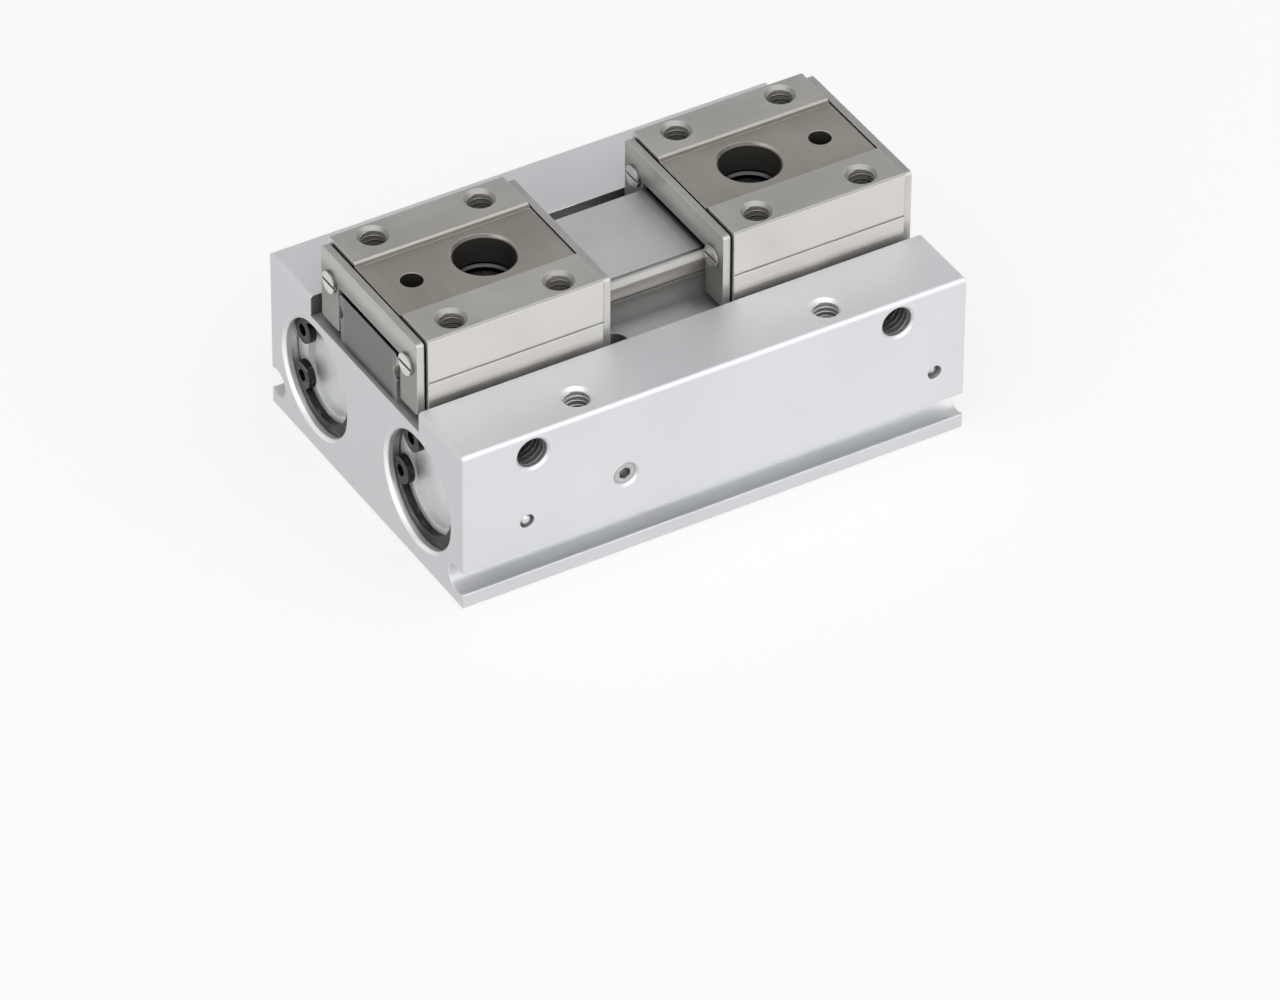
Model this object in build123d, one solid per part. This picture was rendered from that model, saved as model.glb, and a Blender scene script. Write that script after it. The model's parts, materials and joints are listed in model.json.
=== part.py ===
from build123d import *
import math
import os

# Low-profile parallel gripper, driven by air. Millimetres. X runs along the fingers' travel, Y across the
# body and Z up, away from the mounting face. The origin is the middle of the mounting face. The fingers are
# drawn open. The right finger belongs to the rear cylinder, and the left finger, which belongs to the front
# one, is the same set of pieces turned half a turn about Z.

# Travel of each finger, and what stays between them when they are closed
finger_travel = 7.5
closed_gap = 1.2
stop_gap = 0.05

# Walls and edges of the body block
base_wall = 3.0
floor_wall = 1.5
side_wall = 3.3
channel_depth = 3.1
channel_side_gap = 1.1
body_corner_round = 0.4
body_edge_round = 0.6
body_end_chamfer = 0.3

# Cylinders
bore_diameter = 16.0
bore_mouth_chamfer = 0.4

# Grooves for position switches, along both sides
switch_groove_diameter = 4.1
switch_groove_opening = 3.4
switch_groove_height = 3.95
switch_groove_lip = 0.35

# Snap rings, caps and bumpers that close the cylinders
ring_setback = 1.2
ring_thickness = 1.0
ring_groove_depth = 0.4
ring_band = 2.0
ring_taper = 0.4
ring_fit = 0.04
ring_gap_angle = 70.0
ring_lug_radius = 1.9
ring_lug_hole = 0.85
front_ring_turn = 68.0
rear_ring_turn = 87.0
cap_length = 5.0
cap_fit = 0.05
cap_rim = 2.3
cap_dish_depth = 0.8
o_ring_section = 1.4
o_ring_groove_width = 1.8
o_ring_groove_depth = 1.5
bumper_rim = 3.0
bumper_proud = 1.0
bumper_seat = 0.8

# Air ports and their feed holes, on the front face
port_from_feed = 1.4
port_from_top = 3.15
port_diameter = 4.2
port_depth = 6.5
port_mouth_chamfer = 0.35
feed_diameter = 1.6
feed_setback = 0.4
feed_from_front = 5.0

# Plugged drillings on the front face
grub_x = -13.0
grub_above_bore = 1.05
grub_diameter = 3.0
grub_length = 1.6
grub_socket = 1.5
grub_socket_depth = 1.0
left_plug_from_end = 9.15
left_plug_below_bore = 0.65
right_plug_from_end = 4.45
right_plug_below_bore = 0.45
plug_diameter = 2.0
plug_hole_depth = 2.5
plug_sink = 0.35
left_plug_sink = 0.1
right_plug_sink = 0.5
plug_fit = 0.02

# Mounting holes in the body
ledge_hole_spacing_x = 35.8
ledge_hole_from_side = 3.8
m4_drill = 3.3
ledge_hole_depth = 6.0
m5_drill = 4.2
base_hole_from_end = 8.25
base_hole_depth = 8.0
dowel_from_base_hole = 6.0
dowel_diameter = 4.0
dowel_depth = 5.0
hole_chamfer = 0.45

# Guide rail
rail_width = 14.4
rail_height = 7.5
rail_setback = 0.6
rail_top_chamfer = 0.25
rail_foot_relief = 0.25
rail_foot_margin = 0.35
raceway_drop = 2.7
ball_diameter = 2.0
ball_play = 0.05
guide_gap = 0.35

# Rail bolts
bolt_diameter = 4.0
bolt_head_diameter = 7.0
bolt_head_height = 4.0
bolt_socket = 3.0
bolt_socket_depth = 2.0
bolt_head_edge = 0.3
bolt_reach = 7.0
bolt_bottom_gap = 0.5
bolt_fit = 0.02
counterbore_gap = 0.35
bolt_head_sink = 0.4

# Finger, a guide block that rides on the rail
leg_thickness = 4.95
leg_clearance = 0.7
roof_thickness = 4.65
finger_setback = 0.75
finger_edge_round = 0.35
pad_width = 6.4
pad_recess_depth = 0.55
side_line_drop = 6.5
side_line_size = 0.3
tap_from_end = 4.8
tap_from_side = 2.75
tap_depth = 5.4
access_hole_diameter = 8.0
access_hole_offset = 2.7
locating_hole_diameter = 3.0
return_offset = 2.9
ball_count = 10
ball_row_inset = 2.65

# End seals and end plates of the fingers, and their screws
seal_thickness = 0.3
seal_inset = 0.8
seal_rail_gap = 0.15
plate_thickness = 1.0
plate_inset = 0.5
plate_rail_gap = 0.6
plate_round = 0.5
screw_diameter = 1.9
screw_head_diameter = 3.0
screw_head_height = 0.45
screw_slot_width = 0.4
screw_slot_depth = 0.22
screw_length = 2.3
screw_from_leg = 2.05
screw_drop = 4.7

# Rack, pistons and the pin that joins the rack to its finger
piston_fit = 0.1
rack_bar_clearance = 0.6
rack_flat_depth = 0.6
rack_beyond_pin = 6.4
head_length = 7.5
head_chamfer = 0.8
stud_diameter = 5.0
stud_length = 4.5
stud_fit = 0.02
piston_seal_width = 1.6
piston_seal_depth = 1.5
piston_seal_from_end = 1.2
piston_seal_fit = 0.05
magnet_length = 2.4
magnet_section = 2.0
magnet_fit = 0.05
pin_diameter = 3.6
pin_from_inner_end = 6.0
pin_seat = 2.0
pin_engagement = 2.2
pin_fit = 0.02
pin_end_gap = 0.1
pin_slot_gap = 0.3

# Pinion, its axle, needle rollers and bottom cover
tooth_module = 1.0
pinion_teeth = 14
pressure_angle = math.radians(20)
rack_addendum = 0.8
rack_dedendum = 1.25
pinion_dedendum = 1.1
tooth_backlash = 0.12
pinion_width = 5.0
needle_gap = 0.04
pocket_gap = 0.4
pocket_headroom = 0.5
axle_diameter = 4.0
axle_shoulder_diameter = 7.8
axle_reach = 4.0
axle_fit = 0.02
shoulder_gap = 0.15
needle_diameter = 1.0
needle_length = 4.6
needle_count = 13
cover_ledge = 0.7
cover_thickness = 1.3
cover_fit = 0.05
cover_ring_thickness = 0.8
cover_ring_sink = 0.45

# Heights, from the mounting face up
bore_radius = bore_diameter / 2
bore_height = base_wall + bore_radius
floor_z = bore_height + bore_radius + floor_wall
body_height = floor_z + channel_depth
rail_top = floor_z + rail_height
block_roof = rail_top + guide_gap
overall_height = block_roof + roof_thickness
leg_bottom = floor_z + leg_clearance
ball_radius = ball_diameter / 2
raceway_radius = ball_radius + ball_play
raceway_z = rail_top - raceway_drop
rail_foot_height = raceway_z - raceway_radius - rail_foot_margin - floor_z
counterbore_depth = bolt_head_height + bolt_head_sink
side_line_height = overall_height - side_line_drop
screw_height = overall_height - screw_drop
grub_height = bore_height + grub_above_bore
port_height = body_height - port_from_top

# Places across the body
rack_bar_diameter = bore_diameter - 2 * rack_bar_clearance
pitch_radius = tooth_module * pinion_teeth / 2
rack_flat_y = pitch_radius - rack_addendum
bore_y = rack_flat_y - rack_flat_depth + rack_bar_diameter / 2
half_width = bore_y + bore_radius + side_wall
body_width = 2 * half_width
raceway_y = rail_width / 2 + guide_gap / 2
return_y = raceway_y + return_offset
leg_inner_y = rail_width / 2 + guide_gap
finger_width = 2 * (leg_inner_y + leg_thickness)
channel_width = finger_width + 2 * channel_side_gap
pad_recess_width = finger_width - 2 * pad_width
tap_spacing_y = finger_width - 2 * tap_from_side
screw_y = leg_inner_y + screw_from_leg
pin_y = leg_inner_y + leg_thickness / 2
ledge_hole_spacing_y = body_width - 2 * ledge_hole_from_side
groove_radius = switch_groove_diameter / 2
groove_y = half_width - switch_groove_lip - math.sqrt(groove_radius**2 - (switch_groove_opening / 2) ** 2)

# Places along the body, from the middle to its right end
finger_inner_x = closed_gap / 2 + finger_travel
pin_x = finger_inner_x + pin_from_inner_end
bar_end_x = pin_x + rack_beyond_pin
piston_end_x = bar_end_x + head_length
bumper_inner_x = piston_end_x + stop_gap
cap_inner_x = bumper_inner_x + bumper_proud
ring_inner_x = cap_inner_x + cap_length
ring_outer_x = ring_inner_x + ring_thickness
half_length = ring_outer_x + ring_setback
body_length = 2 * half_length
bar_start_x = finger_travel - bar_end_x
plate_stack = plate_thickness + seal_thickness
block_start_x = finger_inner_x + plate_stack
block_end_x = half_length - finger_setback - plate_stack
block_length = block_end_x - block_start_x
block_centre_x = (block_start_x + block_end_x) / 2
tap_spacing_x = block_length - 2 * tap_from_end
access_x = block_centre_x - access_hole_offset
locating_x = block_centre_x + tap_spacing_x / 2
feed_x = piston_end_x - feed_setback
port_x = feed_x - port_from_feed
base_hole_x = half_length - base_hole_from_end
dowel_x = base_hole_x - dowel_from_base_hole
left_plug = (left_plug_from_end - half_length, bore_height - left_plug_below_bore, left_plug_sink)
right_plug = (half_length - right_plug_from_end, bore_height - right_plug_below_bore, right_plug_sink)
plug_places = (left_plug, right_plug)

# Sizes of the closing pieces, the joint pin, the teeth and the pinion's pocket
cap_diameter = bore_diameter - 2 * cap_fit
cap_dish_diameter = cap_diameter - 2 * cap_rim
bumper_diameter = bore_diameter - 2 * bumper_rim
magnet_seat_diameter = rack_bar_diameter - 2 * magnet_section
pin_bottom = bore_height + pin_seat
pin_hole_top = leg_bottom + pin_engagement
tooth_pitch = math.pi * tooth_module
pinion_tip_radius = pitch_radius + tooth_module
pinion_bore = axle_diameter + 2 * (needle_diameter + 2 * needle_gap)
pocket_radius = pinion_tip_radius + pocket_gap
pinion_bottom = bore_height - pinion_width / 2
pinion_top = bore_height + pinion_width / 2
pocket_top = pinion_top + pocket_headroom
cover_diameter = 2 * (pocket_radius + cover_ledge)
cover_ring_top = cover_ring_sink + cover_ring_thickness
cover_top = cover_ring_top + cover_thickness

OVERRUN = 1.0
FLANK_STEPS = 4
HALF_TURN = Rot(0, 0, 180)


def box_between(low, high):
    """A block from its lowest corner to its highest."""
    size = [b - a for a, b in zip(low, high)]
    middle = [(a + b) / 2 for a, b in zip(low, high)]
    return Pos(*middle) * Box(*size)


def rod(diameter, start, end):
    """A round bar from one point to another."""
    way = Vector(*end) - Vector(*start)
    return extrude(Plane(origin=start, z_dir=way) * Circle(diameter / 2), way.length)


def tube(outer, inner, start, end):
    return rod(outer, start, end) - rod(inner, start, end)


def hexagon(across_flats, start, end):
    """A hexagonal prism from one point to another."""
    way = Vector(*end) - Vector(*start)
    outline = RegularPolygon(across_flats / 2, 6, major_radius=False)
    return extrude(Plane(origin=start, z_dir=way) * outline, way.length)


def mouth(diameter, chamfer, start, inward):
    """The cone that breaks the edge of a hole whose mouth is at start. It runs on outside the face."""
    outside = Vector(*start) - Vector(*inward).normalized() * OVERRUN
    plane = Plane(origin=tuple(outside), z_dir=inward)
    height = chamfer + OVERRUN
    return Solid.make_cone(diameter / 2 + height, diameter / 2, height, plane)


def hole(diameter, depth, start, inward, chamfer=hole_chamfer):
    """A round hole of that depth, with a broken edge."""
    end = Vector(*start) + Vector(*inward).normalized() * depth
    return rod(diameter, start, tuple(end)) + mouth(diameter, chamfer, start, inward)


def both_signs(*values):
    """Every combination of signs of the values given."""
    if not values:
        return [()]
    return [(sign * values[0], *rest) for sign in (-1, 1) for rest in both_signs(*values[1:])]


def along_x(profile, start, end):
    """A profile of the Y-Z plane, drawn out from one X to another."""
    return extrude(Plane(origin=(start, 0, 0), x_dir=(0, 1, 0), z_dir=(1, 0, 0)) * profile, end - start)


def rectangle_between(low, high):
    size = [b - a for a, b in zip(low, high)]
    return Pos((low[0] + high[0]) / 2, (low[1] + high[1]) / 2) * Rectangle(*size)


def export(name, *solids):
    """Writes one node, which may hold several separate solids."""
    shape = solids[0] if len(solids) == 1 else Compound(children=list(solids))
    export_step(shape, f"parts/{name}.step")


# Body block


def body_envelope():
    """The extruded section with its channel and switch grooves, its corners rounded in plan and side view."""
    section = rectangle_between((-half_width, 0), (half_width, body_height))
    section = fillet(section.vertices(), body_edge_round)
    section -= rectangle_between((-channel_width / 2, floor_z), (channel_width / 2, body_height + OVERRUN))
    for side in (-1, 1):
        section -= Pos(side * groove_y, switch_groove_height) * Circle(groove_radius)
        slot = Rectangle(2 * (half_width - groove_y), switch_groove_opening)
        section -= Pos(side * half_width, switch_groove_height) * slot
    block = along_x(section, -half_length, half_length)
    plan = fillet(Rectangle(body_length, body_width).vertices(), body_corner_round)
    block &= extrude(plan, body_height)
    side_view = rectangle_between((-half_length, 0), (half_length, body_height))
    side_view = chamfer(side_view.vertices(), body_end_chamfer)
    return block & extrude(Plane.XZ * side_view, half_width, both=True)


def cylinder_cuts():
    """Both bores, right through, with the snap ring grooves at their ends."""
    cuts = []
    for y in (-bore_y, bore_y):
        past_end = half_length + OVERRUN
        cuts.append(rod(bore_diameter, (-past_end, y, bore_height), (past_end, y, bore_height)))
        for side in (-1, 1):
            start = (side * half_length, y, bore_height)
            cuts.append(mouth(bore_diameter, bore_mouth_chamfer, start, (-side, 0, 0)))
            groove_start = (side * (ring_inner_x - ring_fit), y, bore_height)
            groove_end = (side * (ring_outer_x + ring_fit), y, bore_height)
            cuts.append(rod(bore_diameter + 2 * ring_groove_depth, groove_start, groove_end))
    return cuts


def port_cuts():
    """The two air ports on the front face, each with a feed hole down into the front cylinder."""
    cuts = []
    for side in (-1, 1):
        start = (side * port_x, -half_width, port_height)
        cuts.append(hole(port_diameter, port_depth, start, (0, 1, 0), port_mouth_chamfer))
        feed_low = (side * feed_x, feed_from_front - half_width, bore_height)
        feed_high = (side * feed_x, feed_from_front - half_width, port_height)
        cuts.append(rod(feed_diameter, feed_low, feed_high))
    return cuts


def plug_cuts():
    """Short drillings on the front face for the ball plugs and the grub screw."""
    outside_y = -half_width - OVERRUN
    bottom_y = plug_hole_depth - half_width
    cuts = [rod(plug_diameter, (x, outside_y, z), (x, bottom_y, z)) for x, z, _ in plug_places]
    grub_start = (grub_x, -half_width, grub_height)
    cuts.append(hole(grub_diameter, grub_length, grub_start, (0, 1, 0), plug_sink))
    return cuts


def mounting_cuts():
    """Tapped holes in the ledges and the base, dowel holes in the base, and the holes for the rail bolts."""
    cuts = []
    for x, y in both_signs(ledge_hole_spacing_x / 2, ledge_hole_spacing_y / 2):
        cuts.append(hole(m4_drill, ledge_hole_depth, (x, y, body_height), (0, 0, -1)))
    for side in (-1, 1):
        cuts.append(hole(m5_drill, base_hole_depth, (side * base_hole_x, 0, 0), (0, 0, 1)))
        cuts.append(hole(dowel_diameter, dowel_depth, (side * dowel_x, 0, 0), (0, 0, 1), plug_sink))
        bolt_hole_bottom = floor_z - bolt_reach - bolt_bottom_gap
        bolt_hole = ((side * access_x, 0, bolt_hole_bottom), (side * access_x, 0, floor_z))
        cuts.append(rod(bolt_diameter + 2 * bolt_fit, *bolt_hole))
    return cuts


def pinion_cuts():
    """The pocket that holds the pinion, open to both cylinders, its cover's seat and the axle's hole."""
    seat = rod(cover_diameter + 2 * cover_fit, (0, 0, 0), (0, 0, cover_top))
    ring_groove = rod(
        cover_diameter + 2 * (cover_fit + ring_groove_depth),
        (0, 0, cover_ring_sink - ring_fit),
        (0, 0, cover_ring_top + ring_fit),
    )
    pocket = rod(2 * pocket_radius, (0, 0, 0), (0, 0, pocket_top))
    axle_hole = rod(axle_diameter + 2 * axle_fit, (0, 0, pocket_top), (0, 0, pocket_top + axle_reach))
    return [seat, ring_groove, pocket, axle_hole]


def pin_slots():
    """The two slots in the channel floor that the joint pins travel in."""
    width = pin_diameter + 2 * pin_slot_gap
    start, end = pin_x - finger_travel, pin_x
    slot = box_between((start, pin_y - width / 2, bore_height), (end, pin_y + width / 2, floor_z))
    for x in (start, end):
        slot += rod(width, (x, pin_y, bore_height), (x, pin_y, floor_z))
    return [slot, HALF_TURN * slot]


def body():
    block = body_envelope()
    for cut in cylinder_cuts() + port_cuts() + plug_cuts() + mounting_cuts() + pinion_cuts() + pin_slots():
        block -= cut
    return block


def grub_screw():
    start = (grub_x, plug_sink - half_width, grub_height)
    end = (grub_x, grub_length - half_width, grub_height)
    socket_end = (grub_x, plug_sink + grub_socket_depth - half_width, grub_height)
    return rod(grub_diameter - 2 * plug_fit, start, end) - hexagon(grub_socket, start, socket_end)


def ball_plug(x, z, sink):
    radius = plug_diameter / 2 - plug_fit
    return Pos(x, sink + radius - half_width, z) * Sphere(radius)


# Snap rings, caps, O-rings and bumpers


def snap_ring(hole_diameter, thickness, plane, turn):
    """A tapered internal snap ring with two lugs, its gap turned from the second axis of its plane."""
    outer = hole_diameter / 2 + ring_groove_depth - ring_fit
    band = Circle(outer) - Pos(0, ring_taper) * Circle(outer - ring_band + ring_taper)
    reach = 2 * outer
    half_gap = math.radians(ring_gap_angle / 2)
    corner = (reach * math.sin(half_gap), reach * math.cos(half_gap))
    band -= make_face(Polyline((0, 0), corner, (0, reach), (-corner[0], corner[1]), (0, 0)))
    lug_centre = outer - ring_lug_radius
    for side in (-1, 1):
        place = Pos(side * lug_centre * math.sin(half_gap), lug_centre * math.cos(half_gap))
        band += place * Circle(ring_lug_radius)
        band -= place * Circle(ring_lug_hole)
    band &= Circle(outer)
    return extrude(plane * (Rot(0, 0, turn) * band), thickness)


def cylinder_ring(x_side, y_side):
    centre = (x_side * ring_inner_x, y_side * bore_y, bore_height)
    outward = Plane(origin=centre, x_dir=(0, x_side, 0), z_dir=(x_side, 0, 0))
    turn = front_ring_turn if y_side < 0 else rear_ring_turn
    return snap_ring(bore_diameter, ring_thickness, outward, -x_side * turn)


def cap(x_side, y_side):
    """A cap with a shallow dish in its face, an O-ring groove and a seat for the bumper."""

    def at(x):
        return (x_side * x, y_side * bore_y, bore_height)

    shape = rod(cap_diameter, at(cap_inner_x), at(ring_inner_x))
    shape -= rod(cap_dish_diameter, at(ring_inner_x - cap_dish_depth), at(ring_inner_x))
    middle = cap_inner_x + cap_length / 2
    groove = (at(middle - o_ring_groove_width / 2), at(middle + o_ring_groove_width / 2))
    shape -= tube(cap_diameter + OVERRUN, cap_diameter - 2 * o_ring_groove_depth, *groove)
    return shape - rod(bumper_diameter + 2 * cap_fit, at(cap_inner_x), at(cap_inner_x + bumper_seat))


def cap_o_ring(x_side, y_side):
    middle_x = cap_inner_x + cap_length / 2
    plane = Plane(origin=(x_side * middle_x, y_side * bore_y, bore_height), z_dir=(1, 0, 0))
    section_radius = o_ring_section / 2
    return Solid.make_torus(cap_diameter / 2 - section_radius, section_radius, plane)


def bumper(x_side, y_side):
    start = (x_side * bumper_inner_x, y_side * bore_y, bore_height)
    end = (x_side * (cap_inner_x + bumper_seat), y_side * bore_y, bore_height)
    return rod(bumper_diameter, start, end)


# Guide rail and its bolts


def rail():
    """The rail's section, with a raceway on each side, drawn along the channel, and its bolt holes."""
    section = rectangle_between((-rail_width / 2, floor_z), (rail_width / 2, rail_top))
    section = chamfer(section.vertices().group_by(Axis.Y)[-1], rail_top_chamfer)
    for side in (-1, 1):
        section -= Pos(side * raceway_y, raceway_z) * Circle(raceway_radius)
        relief = Rectangle(2 * rail_foot_relief, rail_foot_height)
        section -= Pos(side * rail_width / 2, floor_z + rail_foot_height / 2) * relief
    shape = along_x(section, rail_setback - half_length, half_length - rail_setback)
    for side in (-1, 1):
        x = side * access_x
        shape -= rod(bolt_diameter + 2 * bolt_fit, (x, 0, floor_z), (x, 0, rail_top))
        counterbore_diameter = bolt_head_diameter + 2 * counterbore_gap
        shape -= hole(counterbore_diameter, counterbore_depth, (x, 0, rail_top), (0, 0, -1), plug_sink)
    return shape


def rail_bolt(side):
    x = side * access_x
    seat = rail_top - counterbore_depth
    head_top = seat + bolt_head_height
    head = rod(bolt_head_diameter, (x, 0, seat), (x, 0, head_top))
    head = chamfer(head.edges().group_by(Axis.Z)[-1], bolt_head_edge)
    head -= hexagon(bolt_socket, (x, 0, head_top), (x, 0, head_top - bolt_socket_depth))
    return head + rod(bolt_diameter, (x, 0, floor_z - bolt_reach), (x, 0, seat))


# Right finger with its seals, plates, screws and balls


def finger_section():
    """The block's section: an inverted U with a shallow recess on top and a fine line along each side."""
    section = rectangle_between((-finger_width / 2, leg_bottom), (finger_width / 2, overall_height))
    section = fillet(section.vertices(), finger_edge_round)
    section -= rectangle_between((-leg_inner_y, leg_bottom - OVERRUN), (leg_inner_y, block_roof))
    half_recess = pad_recess_width / 2
    recess_floor = overall_height - pad_recess_depth
    section -= make_face(
        Polyline(
            (-half_recess, overall_height),
            (-half_recess + pad_recess_depth, recess_floor),
            (half_recess - pad_recess_depth, recess_floor),
            (half_recess, overall_height),
            (-half_recess, overall_height),
        )
    )
    for side in (-1, 1):
        section -= Pos(side * raceway_y, raceway_z) * Circle(raceway_radius)
        section -= Pos(side * return_y, raceway_z) * Circle(raceway_radius)
        section -= Pos(side * finger_width / 2, side_line_height) * Rectangle(side_line_size, side_line_size)
    return section


def finger():
    block = along_x(finger_section(), block_start_x, block_end_x)
    recess_floor = overall_height - pad_recess_depth
    for x, y in both_signs(tap_spacing_x / 2, tap_spacing_y / 2):
        block -= hole(m4_drill, tap_depth, (block_centre_x + x, y, overall_height), (0, 0, -1))
    roof_depth = recess_floor - block_roof
    block -= hole(access_hole_diameter, roof_depth, (access_x, 0, recess_floor), (0, 0, -1), plug_sink)
    block -= hole(locating_hole_diameter, roof_depth, (locating_x, 0, recess_floor), (0, 0, -1), plug_fit)
    pin_hole = ((pin_x, pin_y, leg_bottom), (pin_x, pin_y, pin_hole_top))
    block -= rod(pin_diameter + 2 * pin_fit, *pin_hole)
    turn_depth = ball_diameter + 2 * ball_play
    for side in (-1, 1):
        low_y, high_y = sorted((side * raceway_y, side * return_y))
        for start in (block_start_x, block_end_x - turn_depth):
            low = (start, low_y, raceway_z - raceway_radius)
            high = (start + turn_depth, high_y, raceway_z + raceway_radius)
            block -= box_between(low, high)
        for x, inward in ((block_start_x, 1), (block_end_x, -1)):
            end = (x + inward * screw_length, side * screw_y, screw_height)
            block -= rod(screw_diameter, (x, side * screw_y, screw_height), end)
    return block


def end_piece(start, end, inset, rail_gap):
    """A flat inverted U across the end of a finger, a little smaller than the block all round."""
    low = (inset - finger_width / 2, leg_bottom + inset)
    high = (finger_width / 2 - inset, overall_height - inset)
    section = fillet(rectangle_between(low, high).vertices(), plate_round)
    half_gap = rail_width / 2 + rail_gap
    section -= rectangle_between((-half_gap, leg_bottom - OVERRUN), (half_gap, rail_top + rail_gap))
    for side in (-1, 1):
        section -= Pos(side * screw_y, screw_height) * Circle(screw_diameter / 2)
    return along_x(section, start, end)


def end_screw(x, outward, side):
    """A small cheese head screw through the end plate and the seal, into the block."""

    def at(distance):
        return (x + outward * distance, side * screw_y, screw_height)

    head_face = plate_stack + screw_head_height
    shank = rod(screw_diameter - 2 * plug_fit, at(-screw_length), at(plate_stack))
    screw = shank + rod(screw_head_diameter, at(plate_stack), at(head_face))
    slot_middle = at(head_face - screw_slot_depth / 2)
    return screw - Pos(*slot_middle) * Box(screw_slot_depth, screw_head_diameter, screw_slot_width)


def guide_balls():
    """The loaded row, the return row and the turning balls on each side of the rail."""
    first = block_start_x + ball_row_inset
    pitch = (block_length - 2 * ball_row_inset) / (ball_count - 1)
    turn_y = (raceway_y + return_y) / 2
    turn_inset = ball_radius + ball_play
    places = [(first + i * pitch, y) for i in range(ball_count) for y in (raceway_y, return_y)]
    places += [(block_start_x + turn_inset, turn_y), (block_end_x - turn_inset, turn_y)]
    return [Pos(x, side * y, raceway_z) * Sphere(ball_radius) for side in (-1, 1) for x, y in places]


# Rear rack with its pistons, seals, magnets and joint pin


def rack():
    """A round bar with a toothed flat towards the pinion and a stud at each end."""
    bar = rod(rack_bar_diameter, (bar_start_x, bore_y, bore_height), (bar_end_x, bore_y, bore_height))
    low = (bar_start_x, bore_y - rack_bar_diameter, bore_height - rack_bar_diameter)
    bar -= box_between(low, (bar_end_x, rack_flat_y, bore_height + rack_bar_diameter))
    half_gap = tooth_pitch / 4 + tooth_backlash / 2
    slope = math.tan(pressure_angle)
    wide, narrow = half_gap + rack_addendum * slope, half_gap - rack_dedendum * slope
    root_y = pitch_radius + rack_dedendum
    gap = make_face(
        Polyline(
            (-wide, rack_flat_y),
            (-narrow, root_y),
            (narrow, root_y),
            (wide, rack_flat_y),
            (-wide, rack_flat_y),
        )
    )
    mesh_reach = math.sqrt(pinion_tip_radius**2 - rack_flat_y**2) + tooth_pitch / 2
    first = -math.ceil(mesh_reach / tooth_pitch - 0.5)
    last = math.ceil((mesh_reach + finger_travel) / tooth_pitch - 0.5)
    gap_bottom = Plane.XY.offset(bore_height - rack_bar_diameter / 2)
    for index in range(first, last + 1):
        bar -= extrude(gap_bottom * (Pos(index * tooth_pitch, 0) * gap), rack_bar_diameter)
    for end, reach in ((bar_start_x, -stud_length), (bar_end_x, stud_length)):
        bar += rod(stud_diameter, (end, bore_y, bore_height), (end + reach, bore_y, bore_height))
    pin_hole = ((pin_x, pin_y, pin_bottom), (pin_x, pin_y, floor_z))
    return bar - rod(pin_diameter + 2 * pin_fit, *pin_hole)


def piston_parts(start, way):
    """A piston, its seal and its magnet, on the rack's end at start, pointing along way."""

    def at(distance):
        return (start + way * distance, bore_y, bore_height)

    diameter = bore_diameter - 2 * piston_fit
    crown = rod(diameter, at(magnet_length), at(head_length))
    crown = chamfer(crown.edges().sort_by(Axis.X)[-1 if way > 0 else 0], head_chamfer)
    seat = rod(magnet_seat_diameter, at(0), at(magnet_length))
    seal_end = head_length - head_chamfer - piston_seal_from_end
    seal_start = seal_end - piston_seal_width
    groove_diameter = diameter - 2 * piston_seal_depth
    piston = crown + seat
    groove = (at(seal_start - piston_seal_fit), at(seal_end + piston_seal_fit))
    piston -= tube(diameter + OVERRUN, groove_diameter, *groove)
    piston -= rod(stud_diameter + 2 * stud_fit, at(0), at(stud_length + stud_fit))
    seal_diameter = bore_diameter - 2 * piston_seal_fit
    seal = tube(seal_diameter, groove_diameter + 2 * piston_seal_fit, at(seal_start), at(seal_end))
    magnet_ends = (at(magnet_fit), at(magnet_length - magnet_fit))
    magnet = tube(rack_bar_diameter, magnet_seat_diameter + 2 * magnet_fit, *magnet_ends)
    return piston, seal, magnet


def joint_pin():
    return rod(pin_diameter, (pin_x, pin_y, pin_bottom), (pin_x, pin_y, pin_hole_top - pin_end_gap))


# Pinion


def involute_angle(radius, base_radius):
    rolled = math.sqrt(max(radius**2 / base_radius**2 - 1, 0))
    return rolled - math.atan(rolled)


def pinion_outline():
    """The toothed outline, with one tooth pointing at each rack."""
    base = pitch_radius * math.cos(pressure_angle)
    root = pitch_radius - pinion_dedendum
    at_pitch = math.pi / (2 * pinion_teeth) - tooth_backlash / (4 * pitch_radius)
    at_base = at_pitch + involute_angle(pitch_radius, base)
    flank_height = pinion_tip_radius - base
    flank = [base + flank_height * step / FLANK_STEPS for step in range(FLANK_STEPS + 1)]

    def point(radius, angle):
        return (radius * math.sin(angle), radius * math.cos(angle))

    edges = []
    for tooth in range(pinion_teeth):
        centre = 2 * math.pi * tooth / pinion_teeth
        for side in (-1, 1):
            offsets = [at_base - involute_angle(radius, base) for radius in flank]
            points = [point(radius, centre + side * offset) for radius, offset in zip(flank, offsets)]
            edges.append(Spline(*points))
            edges.append(Line(point(root, centre + side * at_base), points[0]))
        tip = at_base - involute_angle(pinion_tip_radius, base)
        tip_points = [point(pinion_tip_radius, centre + turn) for turn in (-tip, 0, tip)]
        edges.append(ThreePointArc(*tip_points))
        next_root = 2 * math.pi / pinion_teeth - at_base
        middle = math.pi / pinion_teeth
        root_points = [point(root, centre + turn) for turn in (at_base, middle, next_root)]
        edges.append(ThreePointArc(*root_points))
    return make_face(Wire(edges))


def pinion():
    gear = extrude(Plane.XY.offset(pinion_bottom) * pinion_outline(), pinion_width)
    return gear - rod(pinion_bore, (0, 0, pinion_bottom), (0, 0, pinion_top))


def pinion_axle():
    shoulder_top = pinion_bottom - shoulder_gap
    shoulder = rod(axle_shoulder_diameter, (0, 0, cover_top), (0, 0, shoulder_top))
    return shoulder + rod(axle_diameter, (0, 0, shoulder_top), (0, 0, pocket_top + axle_reach - axle_fit))


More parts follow.
